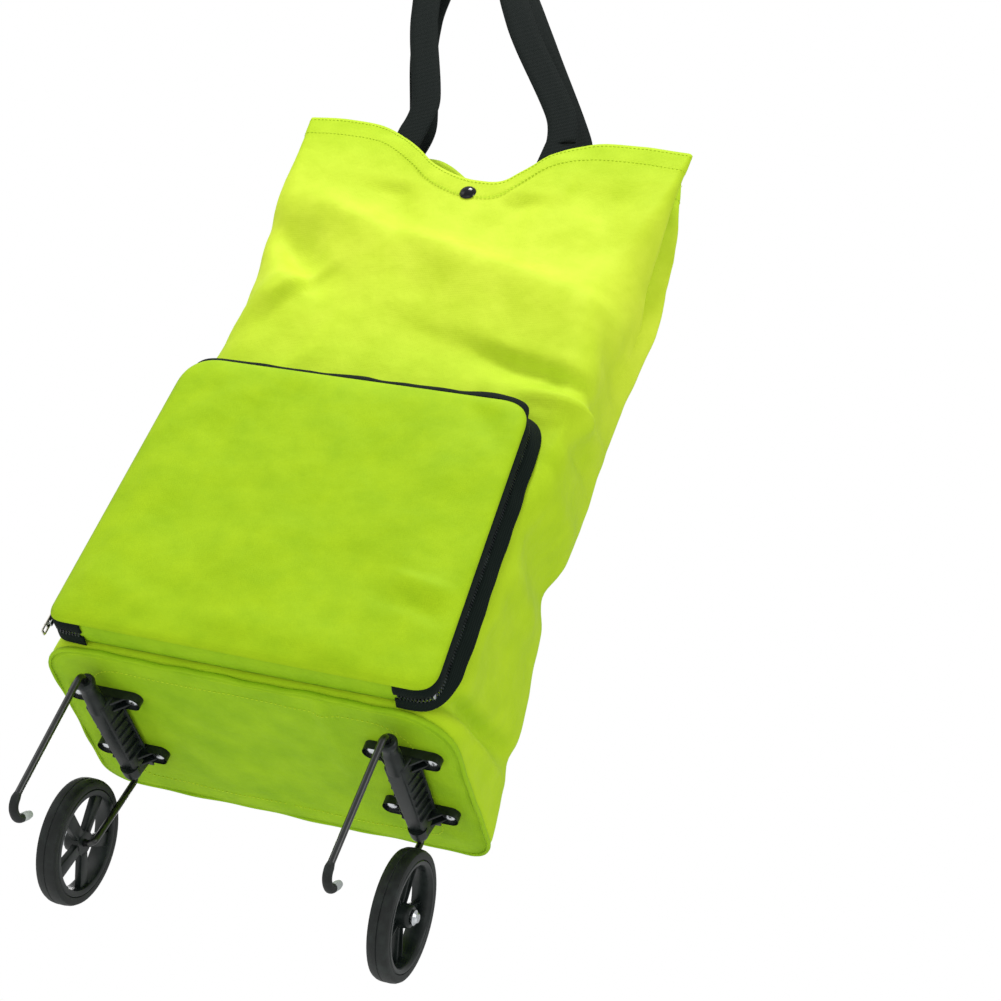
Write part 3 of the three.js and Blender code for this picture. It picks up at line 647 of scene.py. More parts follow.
def wall_shape():
    """Points of the hanging walls, and their unrolled coordinates."""
    level = np.full((1, len(columns)), HEM_Z)
    top_x, top_y, _, _ = ring_points(level, columns)
    top = hem_height(top_x, top_y)
    share = np.linspace(0, 1, ROWS)[:, None]
    z = PANEL_Z + 0.2 + (top - PANEL_Z - 0.2) * share
    x, y, out_x, out_y = ring_points(z, columns)
    step = np.hypot(np.diff(x, axis=1, prepend=x[:, :1]), np.diff(y, axis=1, prepend=y[:, :1]))
    unrolled = np.cumsum(step, axis=1)
    names = [name for name, _ in columns]
    middle = names.index("front") + SIDES["front"] // 2
    unrolled = unrolled - unrolled[:, middle : middle + 1]
    push = folds(unrolled, z, FOLDS)
    push += crumple(unrolled, z, 95, 4.0, 1.7) + crumple(unrolled, z, 34, 1.5, 5.1)
    push += crumple(unrolled, z, 13, 0.45, 9.4)
    below_hem = top - z
    push *= 0.25 + 0.75 * smooth(below_hem, 0, 60)
    behind_pouch = smooth(POUCH_X + 16 - np.abs(x), 0, 12) * smooth(POUCH_TOP + 12 - z, 0, 14)
    behind_pouch *= y < FRONT_Y + 2
    push = push * (1 - behind_pouch) - 0.4 * behind_pouch
    # The walls lie flat and a little proud where the handles are sewn on behind them.
    tail_x = np.where(y < 0, FRONT_FOOT, BACK_FOOT)
    tails = smooth(32 - np.abs(np.abs(x + SEWN_LEFT) - tail_x), 0, 13) * smooth(z, 608, 622)
    over_tails = 1.4 + 0.03 * np.clip(HEM_Z - z, 0, 60) * (y > 0)
    push = push * (1 - 0.95 * tails) + over_tails * tails * (1 - smooth(z, HEM_Z - 22, HEM_Z - 12))
    push *= smooth(z, PANEL_Z, PANEL_Z + 26)
    # The snap holds the cloth flat, the sides fold in below the hem, and the hem band stands proud.
    snap_x, snap_z = x / 16, (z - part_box("snap_front_cap")[0].z / MM - 7) / 16
    push *= 1 - np.exp(-(snap_x**2) - np.where(y < 0, snap_z, snap_z - 1.8) ** 2)
    for c, (name, t) in enumerate(columns):
        if name in ("left", "right"):
            crease = (1 - abs(2 * t - 1)) ** 1.1
            push[:, c] -= 27 * smooth(z[:, c], 440, HEM_Z) ** 1.4 * crease
    push += 0.6 * smooth(HEM_BAND - below_hem, -0.8, 0.8)
    push -= 0.5 * np.exp(-(((below_hem - HEM_BAND) / 1.6) ** 2))
    turn_in = 7 * (1 - np.sqrt(1 - (1 - np.clip((z - PANEL_Z) / 8, 0, 1)) ** 2 * 0.999))
    push -= turn_in
    return np.stack([x + push * out_x, y + push * out_y, z], axis=-1), unrolled, below_hem


wall, unrolled, below_hem = wall_shape()
bag_walls = piece_from(
    "bag_walls", wall, grid_faces(ROWS, len(columns), True), WALL_LIME, "bag"
)
thicken(bag_walls, CLOTH)
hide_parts("front_panel", "back_panel", "left_gusset", "right_gusset")
print("bag walls:", len(bag_walls.data.polygons), "faces")


# %% [markdown]
# The hem is lockstitched. A stitch is a short bead of thread, so one bead is made and set along
# the seam line every few millimetres.


# %% Stitches
def stitch_line(name, points, outward, pitch, body, length=2.2, radius=0.32):
    """Beads of thread along a line of points, each turned to lie along it."""
    points, outward = np.asarray(points, float), np.asarray(outward, float)
    run = np.concatenate([[0], np.cumsum(np.linalg.norm(np.diff(points, axis=0), axis=1))])
    places = np.arange(pitch, run[-1], pitch)
    centre = np.stack([np.interp(places, run, points[:, i]) for i in range(3)], axis=1)
    normal = np.stack([np.interp(places, run, outward[:, i]) for i in range(3)], axis=1)
    normal /= np.linalg.norm(normal, axis=1)[:, None]
    ahead = np.stack([np.interp(places + 0.5, run, points[:, i]) for i in range(3)], axis=1) - centre
    ahead /= np.linalg.norm(ahead, axis=1)[:, None] + 1e-9
    side = np.cross(ahead, normal)
    bead = [(-0.5, -1, 0), (-0.5, 1, 0), (-0.25, -1, 1), (-0.25, 1, 1)]
    bead += [(0.25, -1, 1), (0.25, 1, 1), (0.5, -1, 0), (0.5, 1, 0)]
    shape = np.array(bead) * (length, radius, radius)
    quads = [(0, 1, 3, 2), (2, 3, 5, 4), (4, 5, 7, 6), (6, 7, 1, 0), (0, 2, 4, 6), (1, 7, 5, 3)]

    vertices, faces = [], []
    for c, a, s, n in zip(centre, ahead, side, normal):
        start = len(vertices)
        vertices += [c + a * p[0] + s * p[1] + n * p[2] for p in shape]
        faces += [tuple(start + i for i in quad) for quad in quads]
    piece = piece_from(name, vertices, faces, THREAD_LIME, body)
    piece.data.polygons.foreach_set("use_smooth", [False] * len(faces))
    return piece


def wall_line(depth):
    """The wall's points and outward directions at a depth below the hem, all the way round."""
    row = np.argmin(np.abs(below_hem - depth), axis=0)
    line = wall[row, np.arange(len(columns))].copy()
    ahead = np.roll(line, -1, axis=0) - np.roll(line, 1, axis=0)
    outward = np.stack([ahead[:, 1], -ahead[:, 0], 0 * ahead[:, 0]], axis=1)
    outward /= np.linalg.norm(outward, axis=1)[:, None] + 1e-9
    line[:, 2] += below_hem[row, np.arange(len(columns))] - depth
    return line + outward * 0.1, outward


for label, depth in (("lower", HEM_BAND - 1.5), ("upper", 2.5)):
    line, outward = wall_line(depth)
    stitches = stitch_line(f"hem_stitches_{label}", line, outward, 3.4, "bag")
    print("hem stitches,", label, "row:", len(stitches.data.polygons) // 6)

# %% [markdown]
# The bottom is a flat panel held out by the board. Its edge is sewn to the walls in a thick rolled
# seam that stands proud all round, and slack cloth in front makes a short tuck.

# %% The bottom panel
RINGS = 30
BASE_FOLDS = [
    ((62, -92), (59, -50), -3.0, 5, 9),
    ((59, -50), (64, 20), -2.0, 6, 10),
    ((30, -84), (44, 60), -1.0, 12, 20),
    ((-110, -84), (-60, -60), -1.4, 10, 12),
    ((-40, -84), (-46, 70), -0.9, 20, 18),
    ((100, -88), (134, -70), -2.2, 7, 9),
    ((128, 30), (138, 92), -2.0, 10, 8),
    ((-30, 90), (80, 94), -1.6, 9, 9),
]


def base_shape():
    """Rings of points from the seam to the middle, pushed down by folds."""
    rim = wall[1].copy()
    middle = np.array([0, (FRONT_Y + BACK_LOW_Y) / 2, 0])
    rings = []
    for i in range(RINGS):
        share = (i / (RINGS - 1)) ** 0.8
        ring = rim * (1 - share * 0.985) + middle * share * 0.985
        rings.append(ring)
    points = np.array(rings)
    x, y = points[..., 0], points[..., 1]
    sag = folds(x, y, BASE_FOLDS) + crumple(x, y, 48, 1.1, 3.3) + crumple(x, y, 17, 0.4, 7.9)
    edge = smooth(np.arange(RINGS)[:, None], 0, 3)
    under_bracket = smooth(31 - np.abs(np.abs(x) - 114), 0, 6)
    under_bracket = under_bracket * smooth(y, -80, -70) * smooth(76 - y, 0, 10)
    points[..., 2] = PANEL_Z + 0.3 + np.minimum(sag, 0.2) * edge * (1 - 0.92 * under_bracket)
    return points


base = base_shape()
base_faces = [tuple(reversed(f)) for f in grid_faces(RINGS, len(columns), True)]
base_faces.append(tuple((RINGS - 1) * len(columns) + c for c in reversed(range(len(columns)))))
bottom_cloth = piece_from("bottom_cloth", base, base_faces, BASE_LIME, "bag")
thicken(bottom_cloth, 0.8)
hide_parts("bottom_panel")


def swept(name, line, radius_out, radius_up, material, body, sides=8, closed=True):
    """A round or oval cord of cloth swept along a line in the bag's plan."""
    line = np.asarray(line, float)
    ahead = np.roll(line, -1, axis=0) - np.roll(line, 1, axis=0)
    if not closed:
        ahead = np.gradient(line, axis=0)
    ahead /= np.linalg.norm(ahead, axis=1)[:, None] + 1e-9
    outward = np.stack([ahead[:, 1], -ahead[:, 0], 0 * ahead[:, 0]], axis=1)
    outward /= np.linalg.norm(outward, axis=1)[:, None] + 1e-9
    upward = np.cross(outward, ahead)
    count = len(line)
    points = []
    for i in range(sides):
        angle = 2 * math.pi * i / sides
        sideways = outward * radius_out * math.cos(angle)
        points.append(line + sideways + upward * radius_up * math.sin(angle))
    faces = []
    for i in range(sides):
        j = (i + 1) % sides
        for c in range(count if closed else count - 1):
            d = (c + 1) % count
            faces.append((i * count + c, j * count + c, j * count + d, i * count + d))
    if not closed:
        faces.append(tuple(i * count for i in range(sides)))
        faces.append(tuple(i * count + count - 1 for i in reversed(range(sides))))
    piece = piece_from(name, np.concatenate(points), faces, material, body)
    mend_normals(piece)
    return piece


def mend_normals(piece):
    """Turns every face of a closed piece outwards."""
    shape = bmesh.new()
    shape.from_mesh(piece.data)
    bmesh.ops.recalc_face_normals(shape, faces=shape.faces)
    shape.to_mesh(piece.data)
    shape.free()


seam_row = wall[int(np.argmin(np.abs(wall[:, 0, 2] - PANEL_Z - 3)))].copy()
turn = np.linspace(0, 2 * math.pi, len(columns), endpoint=False)
seam_row[:, 2] = PANEL_Z + 1.6 + 0.5 * np.sin(turn * 9) + 0.3 * np.sin(turn * 23)
bottom_seam = swept("bottom_seam", seam_row, 1.5, 2.3, BASE_LIME, "bag")
base_ring = base[4]
down = np.tile([0, 0, -1.0], (len(columns), 1))
stitch_line("bottom_stitches", base_ring - (0, 0, 0.1), down, 3.6, "bag")
print("bottom: seam", len(seam_row), "sections")

# %% [markdown]
# The pouch is a flat flap zipped to the bag round three sides. Its outline is a rounded rectangle
# that the cloth pulls a little narrower at the top. Rings of points run in from that outline.

# %% The pouch's outline
SEAM_Z = low("pouch_bottom_strip").z
CORNERS = [((-142, 133.6), 12), ((-141, 384.5), 27), ((133, 385), 24), ((146, 132.5), 16)]


def rounded(corners, step):
    """A closed outline through corners, each with its radius, sampled every step millimetres."""
    points = []
    count = len(corners)
    for i, (corner, radius) in enumerate(corners):
        here = np.array(corner, float)
        back = np.array(corners[i - 1][0], float) - here
        ahead = np.array(corners[(i + 1) % count][0], float) - here
        start = here + back / np.linalg.norm(back) * radius
        end = here + ahead / np.linalg.norm(ahead) * radius
        for t in np.linspace(0, 1, 13):
            points.append((1 - t) ** 2 * start + 2 * t * (1 - t) * here + t * t * end)
    points.append(points[0])
    points = np.array(points)
    run = np.concatenate([[0], np.cumsum(np.linalg.norm(np.diff(points, axis=0), axis=1))])
    places = np.linspace(0, run[-1], int(run[-1] / step), endpoint=False)
    return np.stack([np.interp(places, run, points[:, i]) for i in range(2)], axis=1)


outline = rounded(CORNERS, 2.2)
ahead = np.roll(outline, -1, axis=0) - np.roll(outline, 1, axis=0)
outline_out = np.stack([-ahead[:, 1], ahead[:, 0]], axis=1)
outline_out /= np.linalg.norm(outline_out, axis=1)[:, None]
POUCH_MIDDLE = np.array([0, 255.0])
POUCH_FOLDS = [
    ((-96, 372), (-112, 150), 3.4, 12, 24),
    ((-52, 376), (-60, 190), -2.8, 14, 22),
    ((-6, 372), (-14, 200), 3.0, 22, 16),
    ((46, 360), (40, 160), -2.6, 16, 24),
    ((84, 366), (98, 190), 2.8, 12, 20),
    ((92, 214), (140, 208), 2.6, 5, 8),
    ((84, 196), (140, 186), -2.2, 9, 7),
    ((-136, 176), (-60, 150), 2.0, 12, 10),
    ((-120, 340), (-80, 372), -2.0, 14, 9),
    ((96, 372), (126, 336), -2.6, 12, 9),
    ((-40, 150), (60, 158), 1.6, 12, 14),
]


def pouch_rings(rings, inset, face_y, dome):
    """Rings of the pouch's cloth from its edge to its middle."""
    points = []
    for i in range(rings):
        share = (i / (rings - 1)) ** 1.15
        edge = outline - outline_out * inset
        ring = edge * (1 - share * 0.985) + POUCH_MIDDLE * share * 0.985
        points.append(ring)
    flat = np.array(points)
    x, z = flat[..., 0], flat[..., 1]
    from_edge = np.linalg.norm(flat - flat[:1], axis=-1)
    push = folds(x, z, POUCH_FOLDS) + crumple(x, z, 60, 3.4, 2.2)
    push += crumple(x, z, 24, 0.8, 6.4) + crumple(x, z, 9, 0.22, 8.8)
    y = face_y - (dome * (1 - np.exp(-from_edge / 16)) + push * smooth(from_edge, 0, 22))
    y += 1.6 * np.exp(-from_edge / 2.2)
    return np.stack([x, y, z], axis=-1)


def filled_rings(points):
    """Faces of rings of points, with the middle closed."""
    rings, count = points.shape[:2]
    faces = grid_faces(rings, count, True)
    faces.append(tuple((rings - 1) * count + c for c in range(count)))
    return faces


pouch = pouch_rings(34, 0.0, POUCH_Y + 0.6, 4.0)
pouch_face = piece_from("pouch_face", pouch, filled_rings(pouch), SHADED_POUCH_LIME, "pouch")
thicken(pouch_face, 1.1)
mend_normals(pouch_face)
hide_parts("pouch_flap")
lining = pouch_rings(14, 5.0, POUCH_Y + 2.2, 0.0)
lining[..., 1] = high("pouch_lining").y - 0.5 + 0.25 * crumple(lining[..., 0], lining[..., 2], 20, 1, 4.2)
pouch_inside = piece_from(
    "pouch_inside", lining, filled_rings(lining), BASE_LIME, "pouch"
)
thicken(pouch_inside, 0.6)
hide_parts("pouch_lining")
edge_line = np.concatenate([pouch[4], pouch[4][:1]])
forward = np.tile([0, -1.0, 0], (len(edge_line), 1))
stitch_line("pouch_edge_stitches", edge_line - (0, 0.15, 0), forward, 3.2, "pouch")

print("pouch:", len(outline), "points round its edge")

# %% [markdown]
# The pouch hangs from a narrow strip of cloth along its bottom edge, which sags a little.

# %% The strip the pouch hangs from
STRIP_COLUMNS, STRIP_ROWS = 120, 12
strip_x = np.linspace(-128, 128, STRIP_COLUMNS)[None, :] + np.zeros((STRIP_ROWS, 1))
strip_y = np.linspace(POUCH_Y + 1.5, high("pouch_bottom_strip").y + 0.8, STRIP_ROWS)[:, None] + 0 * strip_x
belly = np.sin(np.pi * np.linspace(0, 1, STRIP_ROWS))[:, None]
strip_z = SEAM_Z + 0.8 - 1.7 * belly + belly * crumple(strip_x, strip_y, 16, 0.7, 1.1)
strip = np.stack([strip_x, strip_y, strip_z], axis=-1)
strip_faces = grid_faces(STRIP_ROWS, STRIP_COLUMNS)
pouch_strip = piece_from("pouch_strip", strip, strip_faces, BASE_LIME, "pouch")
thicken(pouch_strip, 0.9, 1.0)
mend_normals(pouch_strip)
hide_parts("pouch_bottom_strip")
print("strip:", len(pouch_strip.data.polygons), "faces")

# %% [markdown]
# The zip is two knitted tapes with a row of moulded teeth on each. The pouch's tape stands out
# from its edge and the bag's tape spreads towards the wall, wavy where the cloth is slack.


# %% The zip round the pouch
bottom_middle = np.argmin(np.abs(outline[:, 0]) + 1000 * (outline[:, 1] > 200))
path = np.roll(outline, -bottom_middle, axis=0)
path_out = np.roll(outline_out, -bottom_middle, axis=0)
keep = (path[:, 1] > SEAM_Z + 4) | (np.abs(path[:, 0]) > 116)
path, path_out = path[keep], path_out[keep]
run = np.concatenate([[0], np.cumsum(np.linalg.norm(np.diff(path, axis=0), axis=1))])
spread = 2.0 + 6.5 * smooth(path[:, 0], 60, 140) * smooth(path[:, 1], SEAM_Z, SEAM_Z + 30)
spread += 1.3 * np.array([noise.noise((v / 26, 0.3, 8.1)) for v in run])
ripple = 1.5 * np.array([noise.noise((v / 19, 4.3, 2.6)) for v in run])
ripple *= smooth(path[:, 1], SEAM_Z + 2, SEAM_Z + 24)


def zip_band(name, start_y, end_y, start_out, end_out, body, replaced, bow):
    """A strip of tape along the path, between two depths and two distances out from the outline."""
    rows = 7
    points = []
    for share in np.linspace(0, 1, rows):
        out = start_out * (1 - share) + end_out * share + bow * math.sin(math.pi * share)
        plan = path + path_out * np.asarray(out)[:, None]
        depth = np.full(len(plan), start_y * (1 - share) + end_y * share)
        points.append(np.stack([plan[:, 0], depth, plan[:, 1]], axis=-1))
    piece = piece_from(name, points, grid_faces(rows, len(path)), TAPE, body)
    thicken(piece, 0.9, 0.0)
    mend_normals(piece)
    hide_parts(replaced)


flat_out = np.zeros(len(path))
pucker = 0.8 + 7.5 * smooth(path_out[:, 1], 0.5, 0.95) * (0.7 + 0.3 * smooth(path[:, 0], -140, 140))
TEETH_Y = (low("zip_teeth_flap").y + high("zip_teeth_body").y) / 2
zip_band(
    "pouch_tape", POUCH_Y + 1.6, low("zip_teeth_flap").y - 0.3, flat_out - 0.6, flat_out + 0.8,
    "pouch", "zip_tape_flap", pucker * (1 + 0.18 * ripple),
)
zip_band(
    "bag_tape", high("zip_teeth_body").y + 0.3, FRONT_Y - 0.55, flat_out + 0.8, spread,
    "bag", "zip_tape_body", 1.2 * ripple,
)
TOOTH_PITCH = 2.4


def teeth_row(name, y, towards, body, replaced, offset):
    """Moulded teeth along the zip, one shape set at every pitch, shifted by a share of it."""
    places = np.arange(TOOTH_PITCH * (1 + offset), run[-1] - TOOTH_PITCH, TOOTH_PITCH)
    shape = np.array(
        [(-0.75, -1.1, 0), (0.75, -1.1, 0), (0.75, 1.3, 0), (-0.75, 1.3, 0)]
        + [(-0.5, -0.9, 1.9), (0.5, -0.9, 1.9), (0.5, 1.1, 1.9), (-0.5, 1.1, 1.9)]
    )
    quads = [(3, 2, 1, 0), (4, 5, 6, 7), (0, 1, 5, 4), (1, 2, 6, 5), (2, 3, 7, 6), (3, 0, 4, 7)]
    vertices, faces = [], []
    for place in places:
        x, z = (np.interp(place, run, path[:, i]) for i in range(2))
        out = np.array([np.interp(place, run, path_out[:, i]) for i in range(2)])
        out /= np.linalg.norm(out)
        along = np.array([out[1], -out[0]])
        start = len(vertices)
        for a, b, c in shape:
            plan = np.array([x, z]) + along * a + out * (c - 0.4)
            vertices.append((plan[0], y + b * towards, plan[1]))
        faces += [tuple(start + i for i in quad) for quad in quads]
    piece = piece_from(name, vertices, faces, TEETH, body)
    piece.data.polygons.foreach_set("use_smooth", [False] * len(faces))
    mend_normals(piece)
    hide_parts(replaced)


teeth_row("pouch_teeth", TEETH_Y - 1.35, 1, "pouch", "zip_teeth_flap", 0.0)
teeth_row("bag_teeth", TEETH_Y + 1.35, -1, "bag", "zip_teeth_body", 0.5)
print("zip:", round(run[-1]), "mm long")

# %% [markdown]
# The handles are 25 mm webbing: up from inside the hem, over in a loop and down again. They lean
# towards the hand that holds them, and turn edge on at the grip.


# %% The webbing handles
WEB_WIDTH, WEB_THICK = 25, 2
HALF_GRIP = 22
LOOP_RISE = 340
LEAN = math.tan(math.radians(22))
TAIL_POINTS = 22


def handle_path(node_name, spacing, slack):
    """Centre line and width direction of a handle, tail to tail; slack bows its right side out."""
    foot, grip = spacing / 2, HALF_GRIP
    hem = HEM_Z + 1.5
    rise = LOOP_RISE - grip - 1.5
    shoulder = rise + 0.05 * grip + 1.2 * grip
    y = (low(node_name).y + high(node_name).y) / 2
    side = np.stack([np.linspace(-foot, -grip, 70), np.linspace(0, rise, 70)], axis=1)
    t = np.linspace(0, 1, 26)[1:, None]
    knots = [(-grip, rise), (-grip * 0.9, shoulder), (grip * 0.9, shoulder), (grip, rise)]
    p0, p1, p2, p3 = (np.array(k, float) for k in knots)
    top = (1 - t) ** 3 * p0 + 3 * t * (1 - t) ** 2 * p1 + 3 * t * t * (1 - t) * p2 + t**3 * p3
    other = side[::-1][1:] * (-1, 1)
    loop = np.concatenate([side, top, other])
    lengths = np.concatenate([[0], np.cumsum(np.linalg.norm(np.diff(loop, axis=0), axis=1))])
    along = lengths / lengths[-1]
    # The loop leaves the hem upright, bends over its first 40 mm and then leans straight.
    neck = 40
    height = loop[:, 1]
    shift = np.where(height < neck, LEAN * height**2 / (2 * neck), LEAN * (height - neck / 2))
    sway = SEWN_LEFT + 12 * smooth(height, 20, 150)
    sway -= slack * smooth(height, 0, 150) * smooth(loop[:, 0], -20, 20)
    shift += sway * (1 - smooth(height, 170, rise))
    loop = loop - np.stack([shift, 0 * shift], axis=1)
    # The webbing turns from flat at the hem to edge on at the grip.
    turn = 0.5 * math.pi * smooth(1 - np.abs(2 * along - 1), 0.4, 0.95)
    turn = np.where(along > 0.5, math.pi - turn, turn)
    ahead = np.gradient(loop, axis=0)
    ahead /= np.linalg.norm(ahead, axis=1)[:, None]
    cosine, sine = np.cos(turn), np.sin(turn)
    wide = np.stack([ahead[:, 1] * cosine, sine, -ahead[:, 0] * cosine], axis=1)
    centre = np.stack([loop[:, 0], np.full(len(loop), y), loop[:, 1] + hem], axis=1)
    start = np.zeros((TAIL_POINTS, 3)) + (-foot - SEWN_LEFT, y, hem)
    start[:, 2] += np.linspace(-56, -2, TAIL_POINTS)
    end = start[::-1] + (2 * foot, 0, 0)
    start_wide = np.tile([1.0, 0, 0], (TAIL_POINTS, 1))
    return np.concatenate([start, centre, end]), np.concatenate([start_wide, wide, -start_wide])


def webbing(name, centre, wide, width, thick, material, body, replaced):
    """A strap swept along a centre line: a flat section with round edges."""
    ahead = np.gradient(centre, axis=0)
    ahead /= np.linalg.norm(ahead, axis=1)[:, None]
    thin = np.cross(ahead, wide)
    half, edge = width / 2, thick / 2
    section = [(-half, -0.3 * edge), (-half + 0.6, -edge)]
    section += [(s * half / 4, -edge) for s in range(-2, 3)]
    section += [(half - 0.6, -edge), (half, -0.3 * edge)]
    section += [(-a, -b) for a, b in section]
    count = len(section)
    rows = np.array([centre + wide * a + thin * b for a, b in section])
    vertices = rows.transpose(1, 0, 2).reshape(-1, 3)
    faces = grid_faces(len(centre), count, True)
    faces.append(tuple(range(count)))
    faces.append(tuple((len(centre) - 1) * count + i for i in reversed(range(count))))
    piece = piece_from(name, vertices, faces, material, body)
    mend_normals(piece)
    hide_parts(*replaced)
    return piece


def handle(side, spacing, slack):
    """One handle, sewn to the bag below the hem and free above it."""
    centre, wide = handle_path(f"{side}_handle", spacing, slack)
    tails = [f"{side}_strap_tail_left", f"{side}_strap_tail_right"]
    tail_y = (low(tails[0]).y + high(tails[0]).y) / 2
    lean = (high(tails[0]).y - low(tails[0]).y - WEB_THICK) * (1 if side == "back" else 0)
    below = smooth(HEM_Z - centre[:, 2], 0, 56)
    top_y = centre[len(centre) // 2, 1]
    centre[:, 1] = top_y + below * ((tail_y + lean / 2) - top_y)
    strap = webbing(
        f"{side}_webbing", centre, wide, WEB_WIDTH, WEB_THICK, WEBBING, None,
        [f"{side}_handle", *tails],
    )
    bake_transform(strap)


handle("front", 2 * FRONT_FOOT, 0)
handle("back", 2 * BACK_FOOT, 12)
print("handles:", round(high("front_handle").z - HEM_Z), "mm above the hem")

# %% [markdown]
# Turned pieces such as the tyre, hub, rivets and snaps share a way of making: a profile is drawn by
# extruding one point, and spun round the piece's axis, which is how a lathe or a mould gives it.


# %% Helpers for hard pieces
def place_finished(piece, name):
    """Names a piece and puts its place into its mesh, with the object left at the origin."""
    piece.name = piece.data.name = name
    select_only(piece)
    bpy.ops.object.transform_apply(location=True, rotation=True, scale=True)
    return piece


def spun(name, profile, centre, axis, steps=48):
    """Spins a profile of (radius, distance along the axis) points round a line through centre."""
    axis = Vector(axis)
    out = Vector((0, 0, 1)) if abs(axis.z) < 0.5 else Vector((1, 0, 0))
    spots = [(Vector(centre) + out * r + axis * h) * MM for r, h in profile]
    clear_selection()
    bpy.ops.mesh.primitive_plane_add(size=0.001, location=spots[0])
    piece = bpy.context.object
    place_finished(piece, name)
    bpy.ops.object.mode_set(mode="EDIT")
    bpy.ops.mesh.select_all(action="SELECT")
    bpy.ops.mesh.merge(type="CENTER")
    for before, after in zip(spots, spots[1:]):
        bpy.ops.mesh.extrude_region_move(TRANSFORM_OT_translate={"value": after - before})
    bpy.ops.mesh.select_all(action="SELECT")
    bpy.ops.mesh.spin(steps=steps, angle=2 * math.pi, center=Vector(centre) * MM, axis=axis)
    bpy.ops.mesh.select_all(action="SELECT")
    bpy.ops.mesh.remove_doubles(threshold=0.00002)
    bpy.ops.mesh.normals_make_consistent(inside=False)
    bpy.ops.object.mode_set(mode="OBJECT")
    smooth_by_angle(piece)
    return piece


def smooth_by_angle(piece, degrees=38):
    """Shades a piece smooth, except over edges sharper than an angle."""
    select_only(piece)
    bpy.ops.object.shade_smooth_by_angle(angle=math.radians(degrees))


def block(name, corner, opposite, bevel, steps=2):
    """A box between two corners, with its edges rounded."""
    corner, opposite = Vector(corner) * MM, Vector(opposite) * MM
    clear_selection()
    bpy.ops.mesh.primitive_cube_add(size=1, location=(corner + opposite) / 2, scale=opposite - corner)
    piece = place_finished(bpy.context.object, name)
    if bevel:
        round_edges(piece, bevel, steps)
    return piece


def round_edges(piece, width, steps=2):
    """Rounds every edge of a piece by width millimetres."""
    select_only(piece)
    bpy.ops.object.mode_set(mode="EDIT")
    bpy.ops.mesh.select_all(action="SELECT")
    bpy.ops.mesh.bevel(offset=width * MM, segments=steps, affect="EDGES")
    bpy.ops.object.mode_set(mode="OBJECT")
    smooth_by_angle(piece)


def move_corners(piece, test, change):
    """Moves the corners that pass a test; both work in millimetres."""
    for vertex in piece.data.vertices:
        spot = vertex.co / MM
        if test(spot):
            vertex.co = Vector(change(spot)) * MM


def combined(name, parts):
    """Joins parts into one piece."""
    clear_selection()
    for part in parts:
        part.select_set(True)
    bpy.context.view_layer.objects.active = parts[0]
    bpy.ops.object.join()
    piece = bpy.context.object
    piece.name = piece.data.name = name
    return piece


def copied(piece, name, change):
    """A copy with its own mesh, moved by a matrix in millimetres."""
    twin = piece.copy()
    twin.data = piece.data.copy()
    twin.parent = None
    for key in [k for k in twin.keys() if k.startswith("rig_")]:
        del twin[key]
    scene.collection.objects.link(twin)
    twin.name = twin.data.name = name
    shift = change.copy()
    shift.translation = shift.translation * MM
    twin.data.transform(shift)
    if change.determinant() < 0:
        twin.data.flip_normals()
    return twin


# %% [markdown]
# The wheels are moulded ABS with a rubber tyre pressed round them. The rim is a deep ring, and five
# spokes sit near its inner edge, each with a raised border, so the wheel looks dished from outside.

# %% Wheels, tyres and axle nuts
# Profiles are (radius, distance outwards along the axle) in millimetres.
WHEEL_X = (low("tyre_right").x + high("tyre_right").x) / 2
AXLE_Y = (low("tyre_right").y + high("tyre_right").y) / 2
AXLE_Z = (low("tyre_right").z + high("tyre_right").z) / 2
HUB = (WHEEL_X, AXLE_Y, AXLE_Z)
TYRE_OUT = [(39.4, -7.4), (42.5, -7.75), (44.6, -7.1), (45.6, -5.2), (46, -2.6), (46, -0.5)]
TYRE_OUT += [(45.5, 0)]
TYRE_OUT += [(r, -h) for r, h in reversed(TYRE_OUT[:-1])]
tyre_shape = TYRE_OUT + [(39.3, 6.5), (39.3, -6.5), TYRE_OUT[0]]
RIM = [(39.1, -7.0), (39.1, 7.0), (38.4, 7.75), (36.6, 7.75), (35.6, 7.0), (34.6, 4.5)]
RIM += [(34.0, -1.0), (34.0, -5.0), (34.6, -7.2), (35.6, -7.75), (38.4, -7.75), (39.1, -7.0)]
BOSS = [(2.95, -5.4), (9.4, -5.4), (9.0, -1.5), (8.2, 4.6), (7.6, 6.9), (6.9, 7.5), (2.95, 7.5)]
BOSS += [(2.95, -5.4)]
SPOKES = 5


def spoke(number):
    """A tapered bar with a raised border, turned to its place round the hub."""
    bar = block(f"spoke_{number}", (-5.4, -4, 7.2), (-0.2, 4, 35.4), 0)
    move_corners(bar, lambda p: p.z > 20, lambda p: (p.x, p.y * 1.35, p.z))
    select_only(bar)
    bpy.ops.object.mode_set(mode="EDIT")
    bpy.ops.mesh.select_all(action="DESELECT")
    bpy.ops.object.mode_set(mode="OBJECT")
    for face in bar.data.polygons:
        face.select = face.normal.x > 0.9
    bpy.ops.object.mode_set(mode="EDIT")
    bpy.ops.mesh.select_mode(type="FACE")
    bpy.ops.mesh.inset(thickness=1.3 * MM, depth=0)
    bpy.ops.mesh.extrude_region_move(TRANSFORM_OT_translate={"value": (-2.2 * MM, 0, 0)})
    bpy.ops.mesh.select_mode(type="VERT")
    bpy.ops.object.mode_set(mode="OBJECT")
    round_edges(bar, 0.45, 2)
    turned = Matrix.Rotation(math.radians(18 + number * 360 / SPOKES), 4, "X")
    bar.data.transform(Matrix.Translation(Vector(HUB) * MM) @ turned)
    return bar


